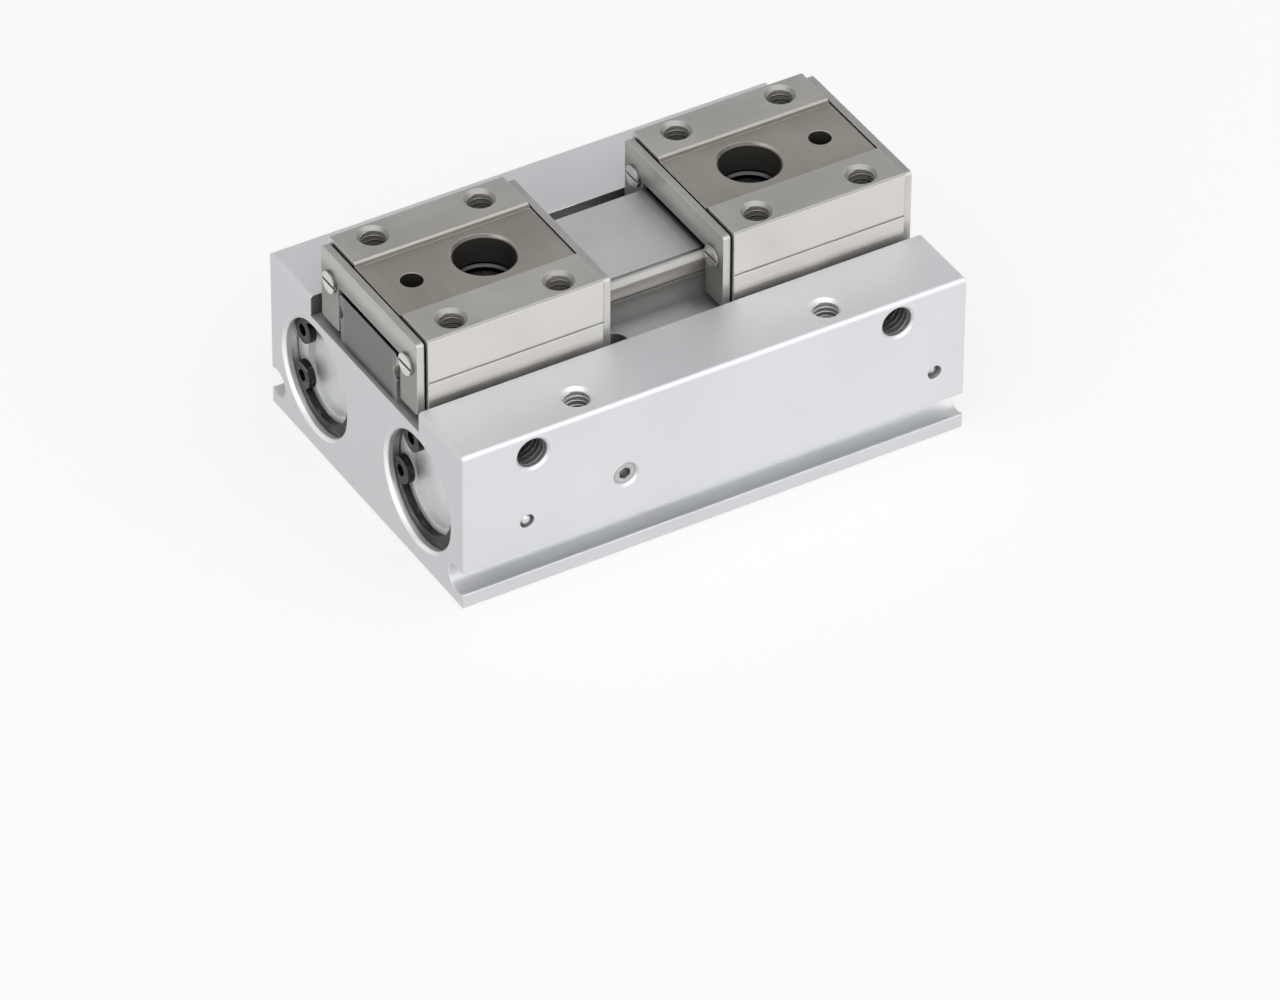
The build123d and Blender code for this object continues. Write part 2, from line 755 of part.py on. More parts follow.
def needle_rollers():
    orbit = (axle_diameter + pinion_bore) / 4
    low, high = bore_height - needle_length / 2, bore_height + needle_length / 2
    turns = [2 * math.pi * i / needle_count for i in range(needle_count)]
    centres = [(orbit * math.cos(turn), orbit * math.sin(turn)) for turn in turns]
    return [rod(needle_diameter, (x, y, low), (x, y, high)) for x, y in centres]


def pinion_cover():
    return rod(cover_diameter, (0, 0, cover_ring_top), (0, 0, cover_top))


def write_body_side():
    """Every piece that stays with the body."""
    export("body", body())
    export("guide_rail", rail())
    export("rail_bolts", *[rail_bolt(side) for side in (-1, 1)])
    export("grub_screw", grub_screw())
    export("ball_plugs", *[ball_plug(*place) for place in plug_places])
    corners = [(x, y) for x in (-1, 1) for y in (-1, 1)]
    for x_side, y_side in corners:
        name = f"{'front' if y_side < 0 else 'rear'}_{'left' if x_side < 0 else 'right'}"
        export(f"{name}_cap", cap(x_side, y_side))
        export(f"{name}_snap_ring", cylinder_ring(x_side, y_side))
        export(f"{name}_bumper", bumper(x_side, y_side))
    export("cap_o_rings", *[cap_o_ring(x_side, y_side) for x_side, y_side in corners])
    export("pinion_axle", pinion_axle())
    export("pinion_cover", pinion_cover())
    ring_plane = Plane.XY.offset(cover_ring_sink)
    export("cover_snap_ring", snap_ring(cover_diameter + 2 * cover_fit, cover_ring_thickness, ring_plane, 0))


def write_jaws():
    """The right finger and the rear rack, and their half-turned copies."""
    block_ends = ((block_start_x, -1), (block_end_x, 1))
    screw_places = [(x, outward, side) for x, outward in block_ends for side in (-1, 1)]
    outer_plate_x = block_end_x + seal_thickness
    inner_piston, inner_seal, inner_magnet = piston_parts(bar_start_x, -1)
    outer_piston, outer_seal, outer_magnet = piston_parts(bar_end_x, 1)
    seal_start_x = finger_inner_x + plate_thickness
    finger_pieces = {
        "finger": [finger()],
        "inner_end_seal": [end_piece(seal_start_x, block_start_x, seal_inset, seal_rail_gap)],
        "outer_end_seal": [end_piece(block_end_x, outer_plate_x, seal_inset, seal_rail_gap)],
        "inner_end_plate": [end_piece(finger_inner_x, seal_start_x, plate_inset, plate_rail_gap)],
        "outer_end_plate": [
            end_piece(outer_plate_x, outer_plate_x + plate_thickness, plate_inset, plate_rail_gap)
        ],
        "end_screws": [end_screw(*place) for place in screw_places],
        "guide_balls": guide_balls(),
        "joint_pin": [joint_pin()],
    }
    cylinder_pieces = {
        "rack": [rack()],
        "outer_piston": [outer_piston],
        "inner_piston": [inner_piston],
        "piston_seals": [outer_seal, inner_seal],
        "magnets": [outer_magnet, inner_magnet],
    }
    halves = ((finger_pieces, "right", "left"), (cylinder_pieces, "rear", "front"))
    for pieces, right_name, left_name in halves:
        for name, solids in pieces.items():
            export(f"{right_name}_{name}", *solids)
            export(f"{left_name}_{name}", *[HALF_TURN * solid for solid in solids])


os.makedirs("parts", exist_ok=True)
write_body_side()
write_jaws()
export("pinion", pinion())
export("needle_rollers", *needle_rollers())
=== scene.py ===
import json
import math

import bpy
from bpy.props import FloatProperty, FloatVectorProperty, IntProperty, PointerProperty
from mathutils import Matrix, Vector


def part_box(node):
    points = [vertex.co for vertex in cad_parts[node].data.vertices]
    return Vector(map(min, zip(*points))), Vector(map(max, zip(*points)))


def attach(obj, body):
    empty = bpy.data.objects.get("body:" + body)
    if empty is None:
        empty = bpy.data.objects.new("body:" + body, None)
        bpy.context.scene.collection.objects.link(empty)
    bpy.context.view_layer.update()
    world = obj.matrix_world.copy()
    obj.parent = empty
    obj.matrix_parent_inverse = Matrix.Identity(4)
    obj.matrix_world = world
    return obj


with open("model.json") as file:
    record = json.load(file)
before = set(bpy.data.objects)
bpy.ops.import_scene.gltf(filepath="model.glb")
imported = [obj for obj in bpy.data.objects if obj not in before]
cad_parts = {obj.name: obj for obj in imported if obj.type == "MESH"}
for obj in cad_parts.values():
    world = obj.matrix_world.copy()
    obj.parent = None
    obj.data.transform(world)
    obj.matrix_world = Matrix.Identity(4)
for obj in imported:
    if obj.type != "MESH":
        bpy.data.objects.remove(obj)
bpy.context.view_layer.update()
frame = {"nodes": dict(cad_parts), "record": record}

# Finishes, cut threads and a studio for a low-profile parallel gripper. Lengths are in metres. X runs along
# the fingers' travel, Y across the body and Z up from the mounting face.

bl_info = {
    "name": "Parallel gripper finishes",
    "version": (1, 0, 0),
    "blender": (4, 5, 0),
    "location": "3D View > Sidebar > Gripper",
    "description": "Metal finishes, cut threads and a studio for a low-profile parallel gripper",
    "category": "Object",
}

MM = 0.001
RECORD = frame["record"]
NODES = frame["nodes"]


def colour(name, description, value):
    return FloatVectorProperty(
        name=name, description=description, default=value, subtype="COLOR", min=0.0, max=1.0
    )


def length(name, description, value):
    return FloatProperty(name=name, description=description, default=value, unit="LENGTH", precision=6, min=0.0)


def share(name, description, value):
    return FloatProperty(name=name, description=description, default=value, subtype="FACTOR", min=0.0, max=1.0)


# Sizes and colours a user can change


class GripperFinishes(bpy.types.PropertyGroup):
    """Colours and roughness of the gripper's surfaces."""

    anodised: colour("Anodised body", "Matte clear-anodised aluminium", (0.73, 0.74, 0.76))
    slots: colour("Slots of the body", "Duller floors and walls of the channel and the switch grooves", (0.72, 0.73, 0.73))
    # The next two are painted shade: the shares by which the body's ends and top are darkened.
    end_shade: share("Dull ends", "How much darker the milled ends of the body are", 0.15)
    top_shade: share("Dull top", "How much darker its milled top is", 0.08)
    anodised_roughness: share("Body roughness", "Roughness of the anodised faces", 0.46)
    turned: colour("Turned aluminium", "Caps, pistons and cover", (0.74, 0.75, 0.76))
    ground: colour("Ground steel", "Bright ground sides of the fingers", (0.715, 0.69, 0.66))
    # Painted shade: the darker tone that the fingers' upward faces take.
    pads: colour("Pads of the fingers", "Duller ground pads that the jaws are bolted to", (0.46, 0.45, 0.43))
    ground_roughness: share("Finger roughness", "Roughness of the ground faces", 0.46)
    band: colour("Recess of the fingers", "Warmer milled floor of the shallow recess", (0.345, 0.325, 0.293))
    rail: colour("Rail", "Ground and hardened rail", (0.72, 0.73, 0.74))
    # Painted light: the near-white upper sides of the rail, in place of a bright reflection.
    lit_rail_side: colour("Rail sides", "Light, dull sides above the raceway", (0.96, 0.93, 0.90))
    # Painted shade on the long top edges of the rail.
    rail_edge_shade: colour("Rail edges", "Long top edges of the rail", (0.10, 0.10, 0.10))
    raceway: colour("Raceway", "Upper flank of the track that the balls run in", (0.78, 0.74, 0.70))
    # Painted shade: the lower flank of the raceway, far darker than the upper.
    raceway_shade: colour("Lower raceway", "Its oily lower flank", (0.25, 0.23, 0.21))
    # Darker lower sides of the rail.
    rail_foot: colour("Rail foot", "Oily lower sides of the rail", (0.23, 0.22, 0.21))
    # Painted shade on the ends of the rail.
    rail_end_shade: colour("Rail ends", "Duller sawn ends of the rail", (0.155, 0.16, 0.15))
    # Painted shade: the dark tone of the plates' faces.
    plate: colour("End plates", "Dull faces of the pressed sheet", (0.40, 0.40, 0.375))
    plate_edge: colour("Plate edges", "Bright sheared edges of the sheet and the plated screws", (0.64, 0.63, 0.61))
    rubber: colour("Rubber", "Seals and O-rings", (0.022, 0.022, 0.024))
    urethane: colour("Bumpers", "Cast urethane", (0.44, 0.27, 0.08))
    phosphate: colour("Snap rings", "Black phosphated spring steel", (0.045, 0.043, 0.042))
    screw: colour("Screws", "Blackened steel", (0.14, 0.14, 0.145))
    gear: colour("Racks and pinion", "Hardened steel", (0.50, 0.495, 0.485))
    magnet: colour("Magnets", "Bonded magnet", (0.05, 0.045, 0.045))
    edge_radius: length("Edge radius", "Broken edge that catches the light", 0.14 * MM)
    body_edge: length("Body edge radius", "Broken edge of the anodised body", 0.25 * MM)
    # Painted shade in holes, slots and gaps: how near a wall must be for it to darken a place, on the body and, with
    # a shorter reach, on the fingers and their plates.
    recess_shade_reach: length("Recess reach", "How near a wall must be to leave a place dull and dark", 4.0 * MM)
    gap_shade_reach: length("Gap reach", "The same on the fingers and their plates, which are cleaner", 1.0 * MM)


class GripperThreads(bpy.types.PropertyGroup):
    """Sizes of the cut threads."""

    m4_pitch: length("M4 pitch", "Pitch of the jaw and ledge threads", 0.7 * MM)
    m5_pitch: length("M5 pitch", "Pitch of the port and base threads", 0.8 * MM)
    ridge: length("Ridge height", "How far a thread stands from the wall of its hole", 0.13 * MM)
    lead_in: length("Lead-in", "Depth at which the thread starts", 0.55 * MM)
    jaw_depth: length("Jaw thread depth", "Depth of the threads in the fingers", 5.0 * MM)
    ledge_depth: length("Ledge thread depth", "Depth of the threads in the ledges", 6.0 * MM)
    port_depth: length("Port thread depth", "Depth of the threads in the air ports", 5.5 * MM)
    base_depth: length("Base thread depth", "Depth of the threads in the base", 7.4 * MM)
    steps: IntProperty(name="Steps", description="Straight steps in one turn", default=28, min=8, max=64)


class GripperStudio(bpy.types.PropertyGroup):
    """Camera, floor and lights."""

    azimuth: FloatProperty(name="Azimuth", description="Round the object", default=math.radians(-30.79), subtype="ANGLE")
    elevation: FloatProperty(name="Elevation", description="Above the floor", default=math.radians(38.41), subtype="ANGLE")
    roll: FloatProperty(name="Roll", description="Tilt of the camera", default=math.radians(0.35), subtype="ANGLE")
    distance: length("Distance", "From the mounting face to the camera", 1.2368)
    side_step: length("Side step", "How far the view is moved to the right", 2.91 * MM)
    drop: length("Drop", "How far the view is moved down", 10.80 * MM)
    lens: FloatProperty(name="Lens", description="Focal length in millimetres", default=275.6, min=1.0)
    floor_size: length("Floor", "Side of the floor", 4.0)
    floor_colour: colour("Floor colour", "Pale floor", (0.97, 0.97, 0.97))
    floor_glow: share("Floor glow", "How much of the floor's white doesn't depend on the lamps", 0.7)
    ceiling: colour("Dark side", "What the metal sees overhead and behind", (0.48, 0.48, 0.485))
    ambient: FloatProperty(name="Ambient", description="Light from all round", default=0.35, min=0.0)
    key_power: FloatProperty(name="Key", description="Power of the large front light in watts", default=49.0, min=0.0)
    key_size: length("Key size", "Side of the large front light", 4.0)


# Short ways to build node trees


class Tree:
    """A node tree, with short ways to add nodes and join sockets."""

    GAP = 190

    def __init__(self, tree):
        self.tree = tree

    def add(self, kind, inputs=None, **settings):
        made = self.tree.nodes.new(kind)
        made.location.x = self.GAP * len(self.tree.nodes)
        for name, value in settings.items():
            setattr(made, name, value)
        for key, value in (inputs or {}).items():
            self.feed(made.inputs[key], value)
        return made

    def feed(self, socket, value):
        if isinstance(value, bpy.types.NodeSocket):
            self.tree.links.new(value, socket)
        elif socket.type == "RGBA":
            socket.default_value = (*value[:3], 1.0)
        else:
            socket.default_value = value

    def math(self, operation, *values, clamp=False):
        made = self.add("ShaderNodeMath", dict(enumerate(values)), operation=operation, use_clamp=clamp)
        return made.outputs[0]

    def vector(self, operation, *values, output="Vector"):
        made = self.add("ShaderNodeVectorMath", operation=operation)
        sockets = [socket for socket in made.inputs if socket.enabled]
        for socket, value in zip(sockets, values):
            self.feed(socket, value)
        return made.outputs[output]

    def ramp(self, value, low, high, to_low=0.0, to_high=1.0):
        """The value, stretched from one range to another and held inside it."""
        ends = {"Value": value, "From Min": low, "From Max": high, "To Min": to_low, "To Max": to_high}
        return self.add("ShaderNodeMapRange", ends, clamp=True).outputs["Result"]

    def mix(self, factor, first, second):
        made = self.add("ShaderNodeMix", {0: factor}, data_type="RGBA")
        self.feed(made.inputs[6], first)
        self.feed(made.inputs[7], second)
        return made.outputs[2]

    def noise(self, vector, scale, detail=2.0):
        inputs = {"Vector": vector, "Scale": scale, "Detail": detail}
        return self.add("ShaderNodeTexNoise", inputs).outputs["Fac"]

    def group(self, name, **inputs):
        made = self.add("ShaderNodeGroup", node_tree=bpy.data.node_groups[name])
        for key, value in inputs.items():
            self.feed(made.inputs[key.replace("_", " ").capitalize()], value)
        return made


def new_group(name, inputs, outputs, kind="ShaderNodeTree"):
    """An empty node group with named sockets: (name, socket type, default). Returns it with its two ends."""
    group = bpy.data.node_groups.new(name, kind)
    for label, socket, default in inputs:
        made = group.interface.new_socket(label, in_out="INPUT", socket_type=socket)
        if default is not None:
            made.default_value = default
    for label, socket in outputs:
        group.interface.new_socket(label, in_out="OUTPUT", socket_type=socket)
    tree = Tree(group)
    return tree, tree.add("NodeGroupInput"), tree.add("NodeGroupOutput")


FLOAT = "NodeSocketFloat"
VECTOR = "NodeSocketVector"


# Effects that several finishes share


def edge_wear_and_highlight_group():
    """A bevelled normal, and a mask of the edges that are brightened, partly as wear from handling and partly as a
    painted highlight.
    """
    inputs = [("Vector", VECTOR, None), ("Radius", FLOAT, 0.1 * MM), ("Wear", FLOAT, 1.0)]
    tree, start, end = new_group("edge_wear_and_highlight", inputs, [("Mask", FLOAT), ("Normal", VECTOR)])
    bevel = tree.add("ShaderNodeBevel", {"Radius": start.outputs["Radius"]}, samples=4)
    plain = tree.add("ShaderNodeNewGeometry").outputs["Normal"]
    turn = tree.vector("DOT_PRODUCT", bevel.outputs["Normal"], plain, output="Value")
    edge = tree.ramp(turn, 0.985, 0.80)
    patchy = tree.ramp(tree.noise(start.outputs["Vector"], 420.0, 3.0), 0.3, 0.7, 0.35, 1.0)
    mask = tree.math("MULTIPLY", tree.math("MULTIPLY", edge, patchy), start.outputs["Wear"])
    tree.feed(end.inputs["Mask"], mask)
    tree.feed(end.inputs["Normal"], bevel.outputs["Normal"])


def painted_recess_shade_group():
    """A mask of painted shade, which falls from one in the open to nothing down holes, slots and gaps.

    Low down only the piece itself counts, so that a floor under it leaves no mark.
    """
    inputs = [("Reach", FLOAT, 2.0 * MM), ("Closed", FLOAT, 0.30), ("Open", FLOAT, 0.80)]
    tree, start, end = new_group("painted_recess_shade", inputs, [("Mask", FLOAT)])
    reach = {"Distance": start.outputs["Reach"]}
    own = tree.add("ShaderNodeAmbientOcclusion", reach, samples=4, only_local=True).outputs["AO"]
    near = tree.add("ShaderNodeAmbientOcclusion", reach, samples=4).outputs["AO"]
    height = tree.add("ShaderNodeSeparateXYZ", {"Vector": tree.add("ShaderNodeNewGeometry").outputs["Position"]})
    above = tree.ramp(height.outputs["Z"], 3.0 * MM, 8.0 * MM)
    seen = tree.add("ShaderNodeMix", {0: above, 2: own, 3: near}).outputs[0]
    ends = {"Value": seen, "From Min": start.outputs["Closed"], "From Max": start.outputs["Open"]}
    smooth = tree.add("ShaderNodeMapRange", ends, clamp=True, interpolation_type="SMOOTHSTEP")
    tree.feed(end.inputs["Mask"], smooth.outputs["Result"])


def streak_group():
    """Fine lines left by a die or a grinding wheel, longer along the axis that is stretched least."""
    inputs = [("Vector", VECTOR, None), ("Stretch", VECTOR, None), ("Detail", FLOAT, 4.0)]
    tree, start, end = new_group("streaks", inputs, [("Value", FLOAT)])
    stretched = tree.vector("MULTIPLY", start.outputs["Vector"], start.outputs["Stretch"])
    tree.feed(end.inputs["Value"], tree.noise(stretched, 1.0, start.outputs["Detail"]))


def patch_group():
    """Soft, large differences from handling and thin oil."""
    inputs = [("Vector", VECTOR, None), ("Scale", FLOAT, 60.0)]
    tree, start, end = new_group("patches", inputs, [("Value", FLOAT)])
    coarse = tree.noise(start.outputs["Vector"], start.outputs["Scale"], 4.0)
    tree.feed(end.inputs["Value"], tree.ramp(coarse, 0.32, 0.68))


def turned_rings_group():
    """Fine rings that a turning tool leaves round an axis."""
    inputs = [
        ("Vector", VECTOR, None),
        ("Centre", VECTOR, None),
        ("Across", VECTOR, None),
        ("Pitch", FLOAT, 0.1 * MM),
    ]
    tree, start, end = new_group("turned_rings", inputs, [("Value", FLOAT)])
    offset = tree.vector("SUBTRACT", start.outputs["Vector"], start.outputs["Centre"])
    flat = tree.vector("MULTIPLY", offset, start.outputs["Across"])
    radius = tree.vector("LENGTH", flat, output="Value")
    turns = tree.math("DIVIDE", radius, start.outputs["Pitch"])
    wave = tree.ramp(tree.math("SINE", tree.math("MULTIPLY", turns, math.tau)), -1.0, 1.0)
    rough = tree.noise(tree.add("ShaderNodeCombineXYZ", {"X": turns}).outputs[0], 0.7, 3.0)
    tree.feed(end.inputs["Value"], tree.math("MULTIPLY", wave, tree.ramp(rough, 0.3, 0.7, 0.4, 1.0)))


# Finishes


class Finish(Tree):
    """A material of one Principled surface that reads the object's own coordinates."""

    def __init__(self, name, **constants):
        material = bpy.data.materials.new(name)
        material.use_nodes = True
        super().__init__(material.node_tree)
        self.material = material
        self.surface = material.node_tree.nodes["Principled BSDF"]
        for key, value in constants.items():
            self.feed(self.surface.inputs[key.replace("_", " ")], value)
        self.place = self.add("ShaderNodeTexCoord").outputs["Object"]

    def set(self, **inputs):
        for key, value in inputs.items():
            self.feed(self.surface.inputs[key.replace("_", " ")], value)

    # Edges brightened partly as wear and partly as a painted highlight.
    def worn_and_highlit(self, radius, wear=1.0):
        return self.group("edge_wear_and_highlight", vector=self.place, radius=radius, wear=wear)

    # Painted shade: the base colour is darkened in holes, slots and gaps.
    def base(self, tone, reach, deepest_shade=0.12, unshaded=0.0):
        """Sets the base colour, darkened as painted shade to a share of itself in holes, slots and gaps, except where
        it is left unshaded.
        """
        mask = self.group("painted_recess_shade", reach=reach).outputs["Mask"]
        unshaded_share = self.ramp(self.math("MAXIMUM", mask, unshaded), 0.0, 1.0, deepest_shade, 1.0)
        self.set(Base_Color=self.vector("SCALE", tone, unshaded_share))

    def turned_to(self, axis):
        """How far the surface faces along the axis, from minus one to one."""
        normal = self.add("ShaderNodeTexCoord").outputs["Normal"]
        return self.add("ShaderNodeSeparateXYZ", {"Vector": normal}).outputs[axis]

    def facing(self, axis, low=0.6, high=0.8):
        """One where the surface faces along the axis, either way, and nothing elsewhere."""
        return self.ramp(self.math("ABSOLUTE", self.turned_to(axis)), low, high)

    def spread(self, first, second, centre_first, centre_second):
        """The distance from an axis, from the two coordinates across it."""
        across = {"X": self.math("SUBTRACT", first, centre_first), "Y": self.math("SUBTRACT", second, centre_second)}
        return self.vector("LENGTH", self.add("ShaderNodeCombineXYZ", across).outputs[0], output="Value")

    def tinted(self, factor, tone, low, high):
        """The colour, from darker to lighter by the shares low and high."""
        return self.mix(factor, [low * v for v in tone], [min(high * v, 1.0) for v in tone])

    def relief(self, height, depth, normal):
        """A bump of that depth over the bevelled normal."""
        inputs = {"Height": height, "Distance": depth, "Strength": 1.0, "Normal": normal}
        return self.add("ShaderNodeBump", inputs).outputs["Normal"]

    def average(self, first, second, share_of_second):
        return self.add("ShaderNodeMix", {0: share_of_second, 2: first, 3: second}).outputs[0]


def anodised_aluminium(looks):
    """Matte anodised faces with faint die lines along the body, a fine blasted grain and brighter edges, partly worn
    and partly a painted highlight; painted shade on the ends, the top, the channel walls and in recesses, and painted
    light in the switch grooves and the bore mouths.
    """
    f = Finish("anodised_aluminium", Metallic=0.7)
    patches = f.group("patches", vector=f.place, scale=48.0).outputs["Value"]
    lines = f.group("streaks", vector=f.place, stretch=(35.0, 3800.0, 3800.0)).outputs["Value"]
    blasted = f.noise(f.place, 7500.0, 2.0)
    grain = f.average(blasted, lines, 0.45)
    edge = f.worn_and_highlit(looks.body_edge)
    speckled = f.average(patches, grain, 0.55)
    axes = f.add("ShaderNodeSeparateXYZ", {"Vector": f.place}).outputs
    channel, groove, depth = slots_of_body(f, axes)
    # Painted shade: the ends and the top are darkened by their shares. Apart from that, the lowest 2.4 mm of the body
    # is 9 % darker.
    ends = f.math("MULTIPLY", f.facing("X"), looks.end_shade)
    milled = f.math("MAXIMUM", ends, f.math("MULTIPLY", f.facing("Z"), looks.top_shade))
    foot = f.math("MULTIPLY", f.math("LESS_THAN", axes["Z"], 2.4 * MM), 0.09)
    outside = f.tinted(speckled, looks.anodised, 0.93, 1.05)
    outside = f.vector("SCALE", outside, f.math("SUBTRACT", 1.0, f.math("MAXIMUM", milled, foot)))
    # Painted shade on the channel walls that face across the body. In the switch grooves the colour is lighter the
    # deeper a place lies: painted light on the back wall and painted shade nearer the mouth.
    slot = f.mix(f.facing("Y"), f.tinted(speckled, looks.slots, 0.80, 1.15), [0.35 * v for v in looks.slots])
    lit = f.mix(depth, [0.93 * v for v in looks.slots], f.tinted(speckled, looks.anodised, 0.88, 1.0))
    body = f.mix(groove, f.mix(channel, outside, slot), lit)
    # Painted highlight: the lower walls of the bore mouths are brightened to near white, and so are the edges, which
    # are partly worn as well.
    mouth_highlight = bore_mouths(f, axes)
    bright = f.mix(f.math("MAXIMUM", edge.outputs["Mask"], mouth_highlight), body, (0.97, 0.975, 0.98))
    # Places spared the painted shade of recesses: the switch grooves, the bore mouths, part of the channel and the
    # small holes.
    unshaded = f.math("MAXIMUM", f.math("MAXIMUM", groove, mouth_highlight), f.math("MULTIPLY", channel, 0.3))
    unshaded = f.math("MAXIMUM", unshaded, small_holes(f, axes))
    f.base(bright, looks.recess_shade_reach, unshaded=unshaded)
    matte = f.ramp(speckled, 0.25, 0.75, looks.anodised_roughness - 0.06, looks.anodised_roughness + 0.06)
    smoother = f.math("MULTIPLY", f.math("MAXIMUM", edge.outputs["Mask"], mouth_highlight), 0.14)
    f.set(Roughness=f.math("SUBTRACT", matte, smoother))
    f.set(Normal=f.relief(grain, 0.006 * MM, edge.outputs["Normal"]))
    return f.material


def slots_of_body(f, axes):
    """Three masks: the channel, the switch grooves, and how deep a place in a groove lies."""
    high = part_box("body")[1]
    rail_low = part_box("guide_rail")[0]
    groove = mount_named("switch_groove_rear")["pos_m"]
    inside = f.math("SUBTRACT", high.y, f.math("ABSOLUTE", axes["Y"]))
    level = f.math("ABSOLUTE", f.math("SUBTRACT", axes["Z"], groove[2]))
    in_groove = f.math("MULTIPLY", f.ramp(inside, 0.05 * MM, 0.4 * MM), f.math("LESS_THAN", level, 2.2 * MM))
    in_groove = f.math("MULTIPLY", in_groove, f.math("LESS_THAN", inside, 3.8 * MM))
    beyond_ledge = f.math("GREATER_THAN", inside, 10.5 * MM)
    above_floor = f.math("GREATER_THAN", axes["Z"], rail_low.z - 0.05 * MM)
    along = f.math("SUBTRACT", 1.0, f.facing("X"))
    in_channel = f.math("MULTIPLY", f.math("MULTIPLY", beyond_ledge, above_floor), along)
    return in_channel, f.math("MULTIPLY", in_groove, along), f.ramp(inside, 0.9 * MM, 2.7 * MM)


def bore_mouths(f, axes):
    """One on the lower rear walls of the cylinders, outside their snap rings, where they face up and forward: the
    place of a painted highlight.
    """
    low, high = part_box("rear_right_cap")
    folded = f.math("ABSOLUTE", axes["Y"])
    reach = f.spread(folded, axes["Z"], (low.y + high.y) / 2, (low.z + high.z) / 2)
    in_bore = f.math("LESS_THAN", reach, (high.z - low.z) / 2 + 0.9 * MM)
    outer = f.math("GREATER_THAN", f.math("ABSOLUTE", axes["X"]), high.x)
    lit = f.math("SUBTRACT", f.math("MULTIPLY", f.turned_to("Z"), 0.8), f.math("MULTIPLY", f.turned_to("Y"), 0.6))
    return f.math("MULTIPLY", f.math("MULTIPLY", in_bore, outer), f.ramp(lit, 0.15, 0.55))


def small_holes(f, axes):
    """How much of the painted shade of recesses is spared in the tapped holes of the ledges and the holes of the ball
    plugs.
    """
    mount = mount_named("ledge_bolts")
    half_x, half_y = mount["dims"]["spacing_x_mm"] * MM / 2, mount["dims"]["spacing_y_mm"] * MM / 2
    folded = f.math("ABSOLUTE", axes["X"]), f.math("ABSOLUTE", axes["Y"])
    in_ledge = f.math("LESS_THAN", f.spread(*folded, half_x, half_y), 2.2 * MM)
    masks = [f.math("MULTIPLY", in_ledge, 0.75)]
    low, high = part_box("ball_plugs")
    middle, radius = (low.z + high.z) / 2, (high.y - low.y) / 2
    for centre in (low.x + radius, high.x - radius):
        at_plug = f.math("LESS_THAN", f.spread(axes["X"], axes["Z"], centre, middle), radius + 0.3 * MM)
        masks.append(f.math("MULTIPLY", at_plug, 0.6))
    return f.math("MAXIMUM", masks[0], f.math("MAXIMUM", masks[1], masks[2]))


def turned_aluminium(name, looks, centre, across):
    """Turned faces with fine rings round the piece's own axis."""
    f = Finish(name, Metallic=0.75)
    folded = f.vector("ABSOLUTE", f.place)
    inputs = {"vector": folded, "centre": centre, "across": across, "pitch": 0.14 * MM}
    rings = f.group("turned_rings", **inputs).outputs["Value"]
    patches = f.group("patches", vector=f.place, scale=260.0).outputs["Value"]
    edge = f.worn_and_highlit(looks.edge_radius)
    tone = f.tinted(f.average(patches, rings, 0.5), looks.turned, 0.86, 1.08)
    # Edges brightened partly as wear and partly as a painted highlight.
    f.base(f.mix(edge.outputs["Mask"], tone, (0.92, 0.92, 0.92)), looks.recess_shade_reach, 0.8)
    f.set(Roughness=f.ramp(patches, 0.0, 1.0, 0.44, 0.56))
    f.set(Normal=f.relief(rings, 0.008 * MM, edge.outputs["Normal"]))
    return f.material


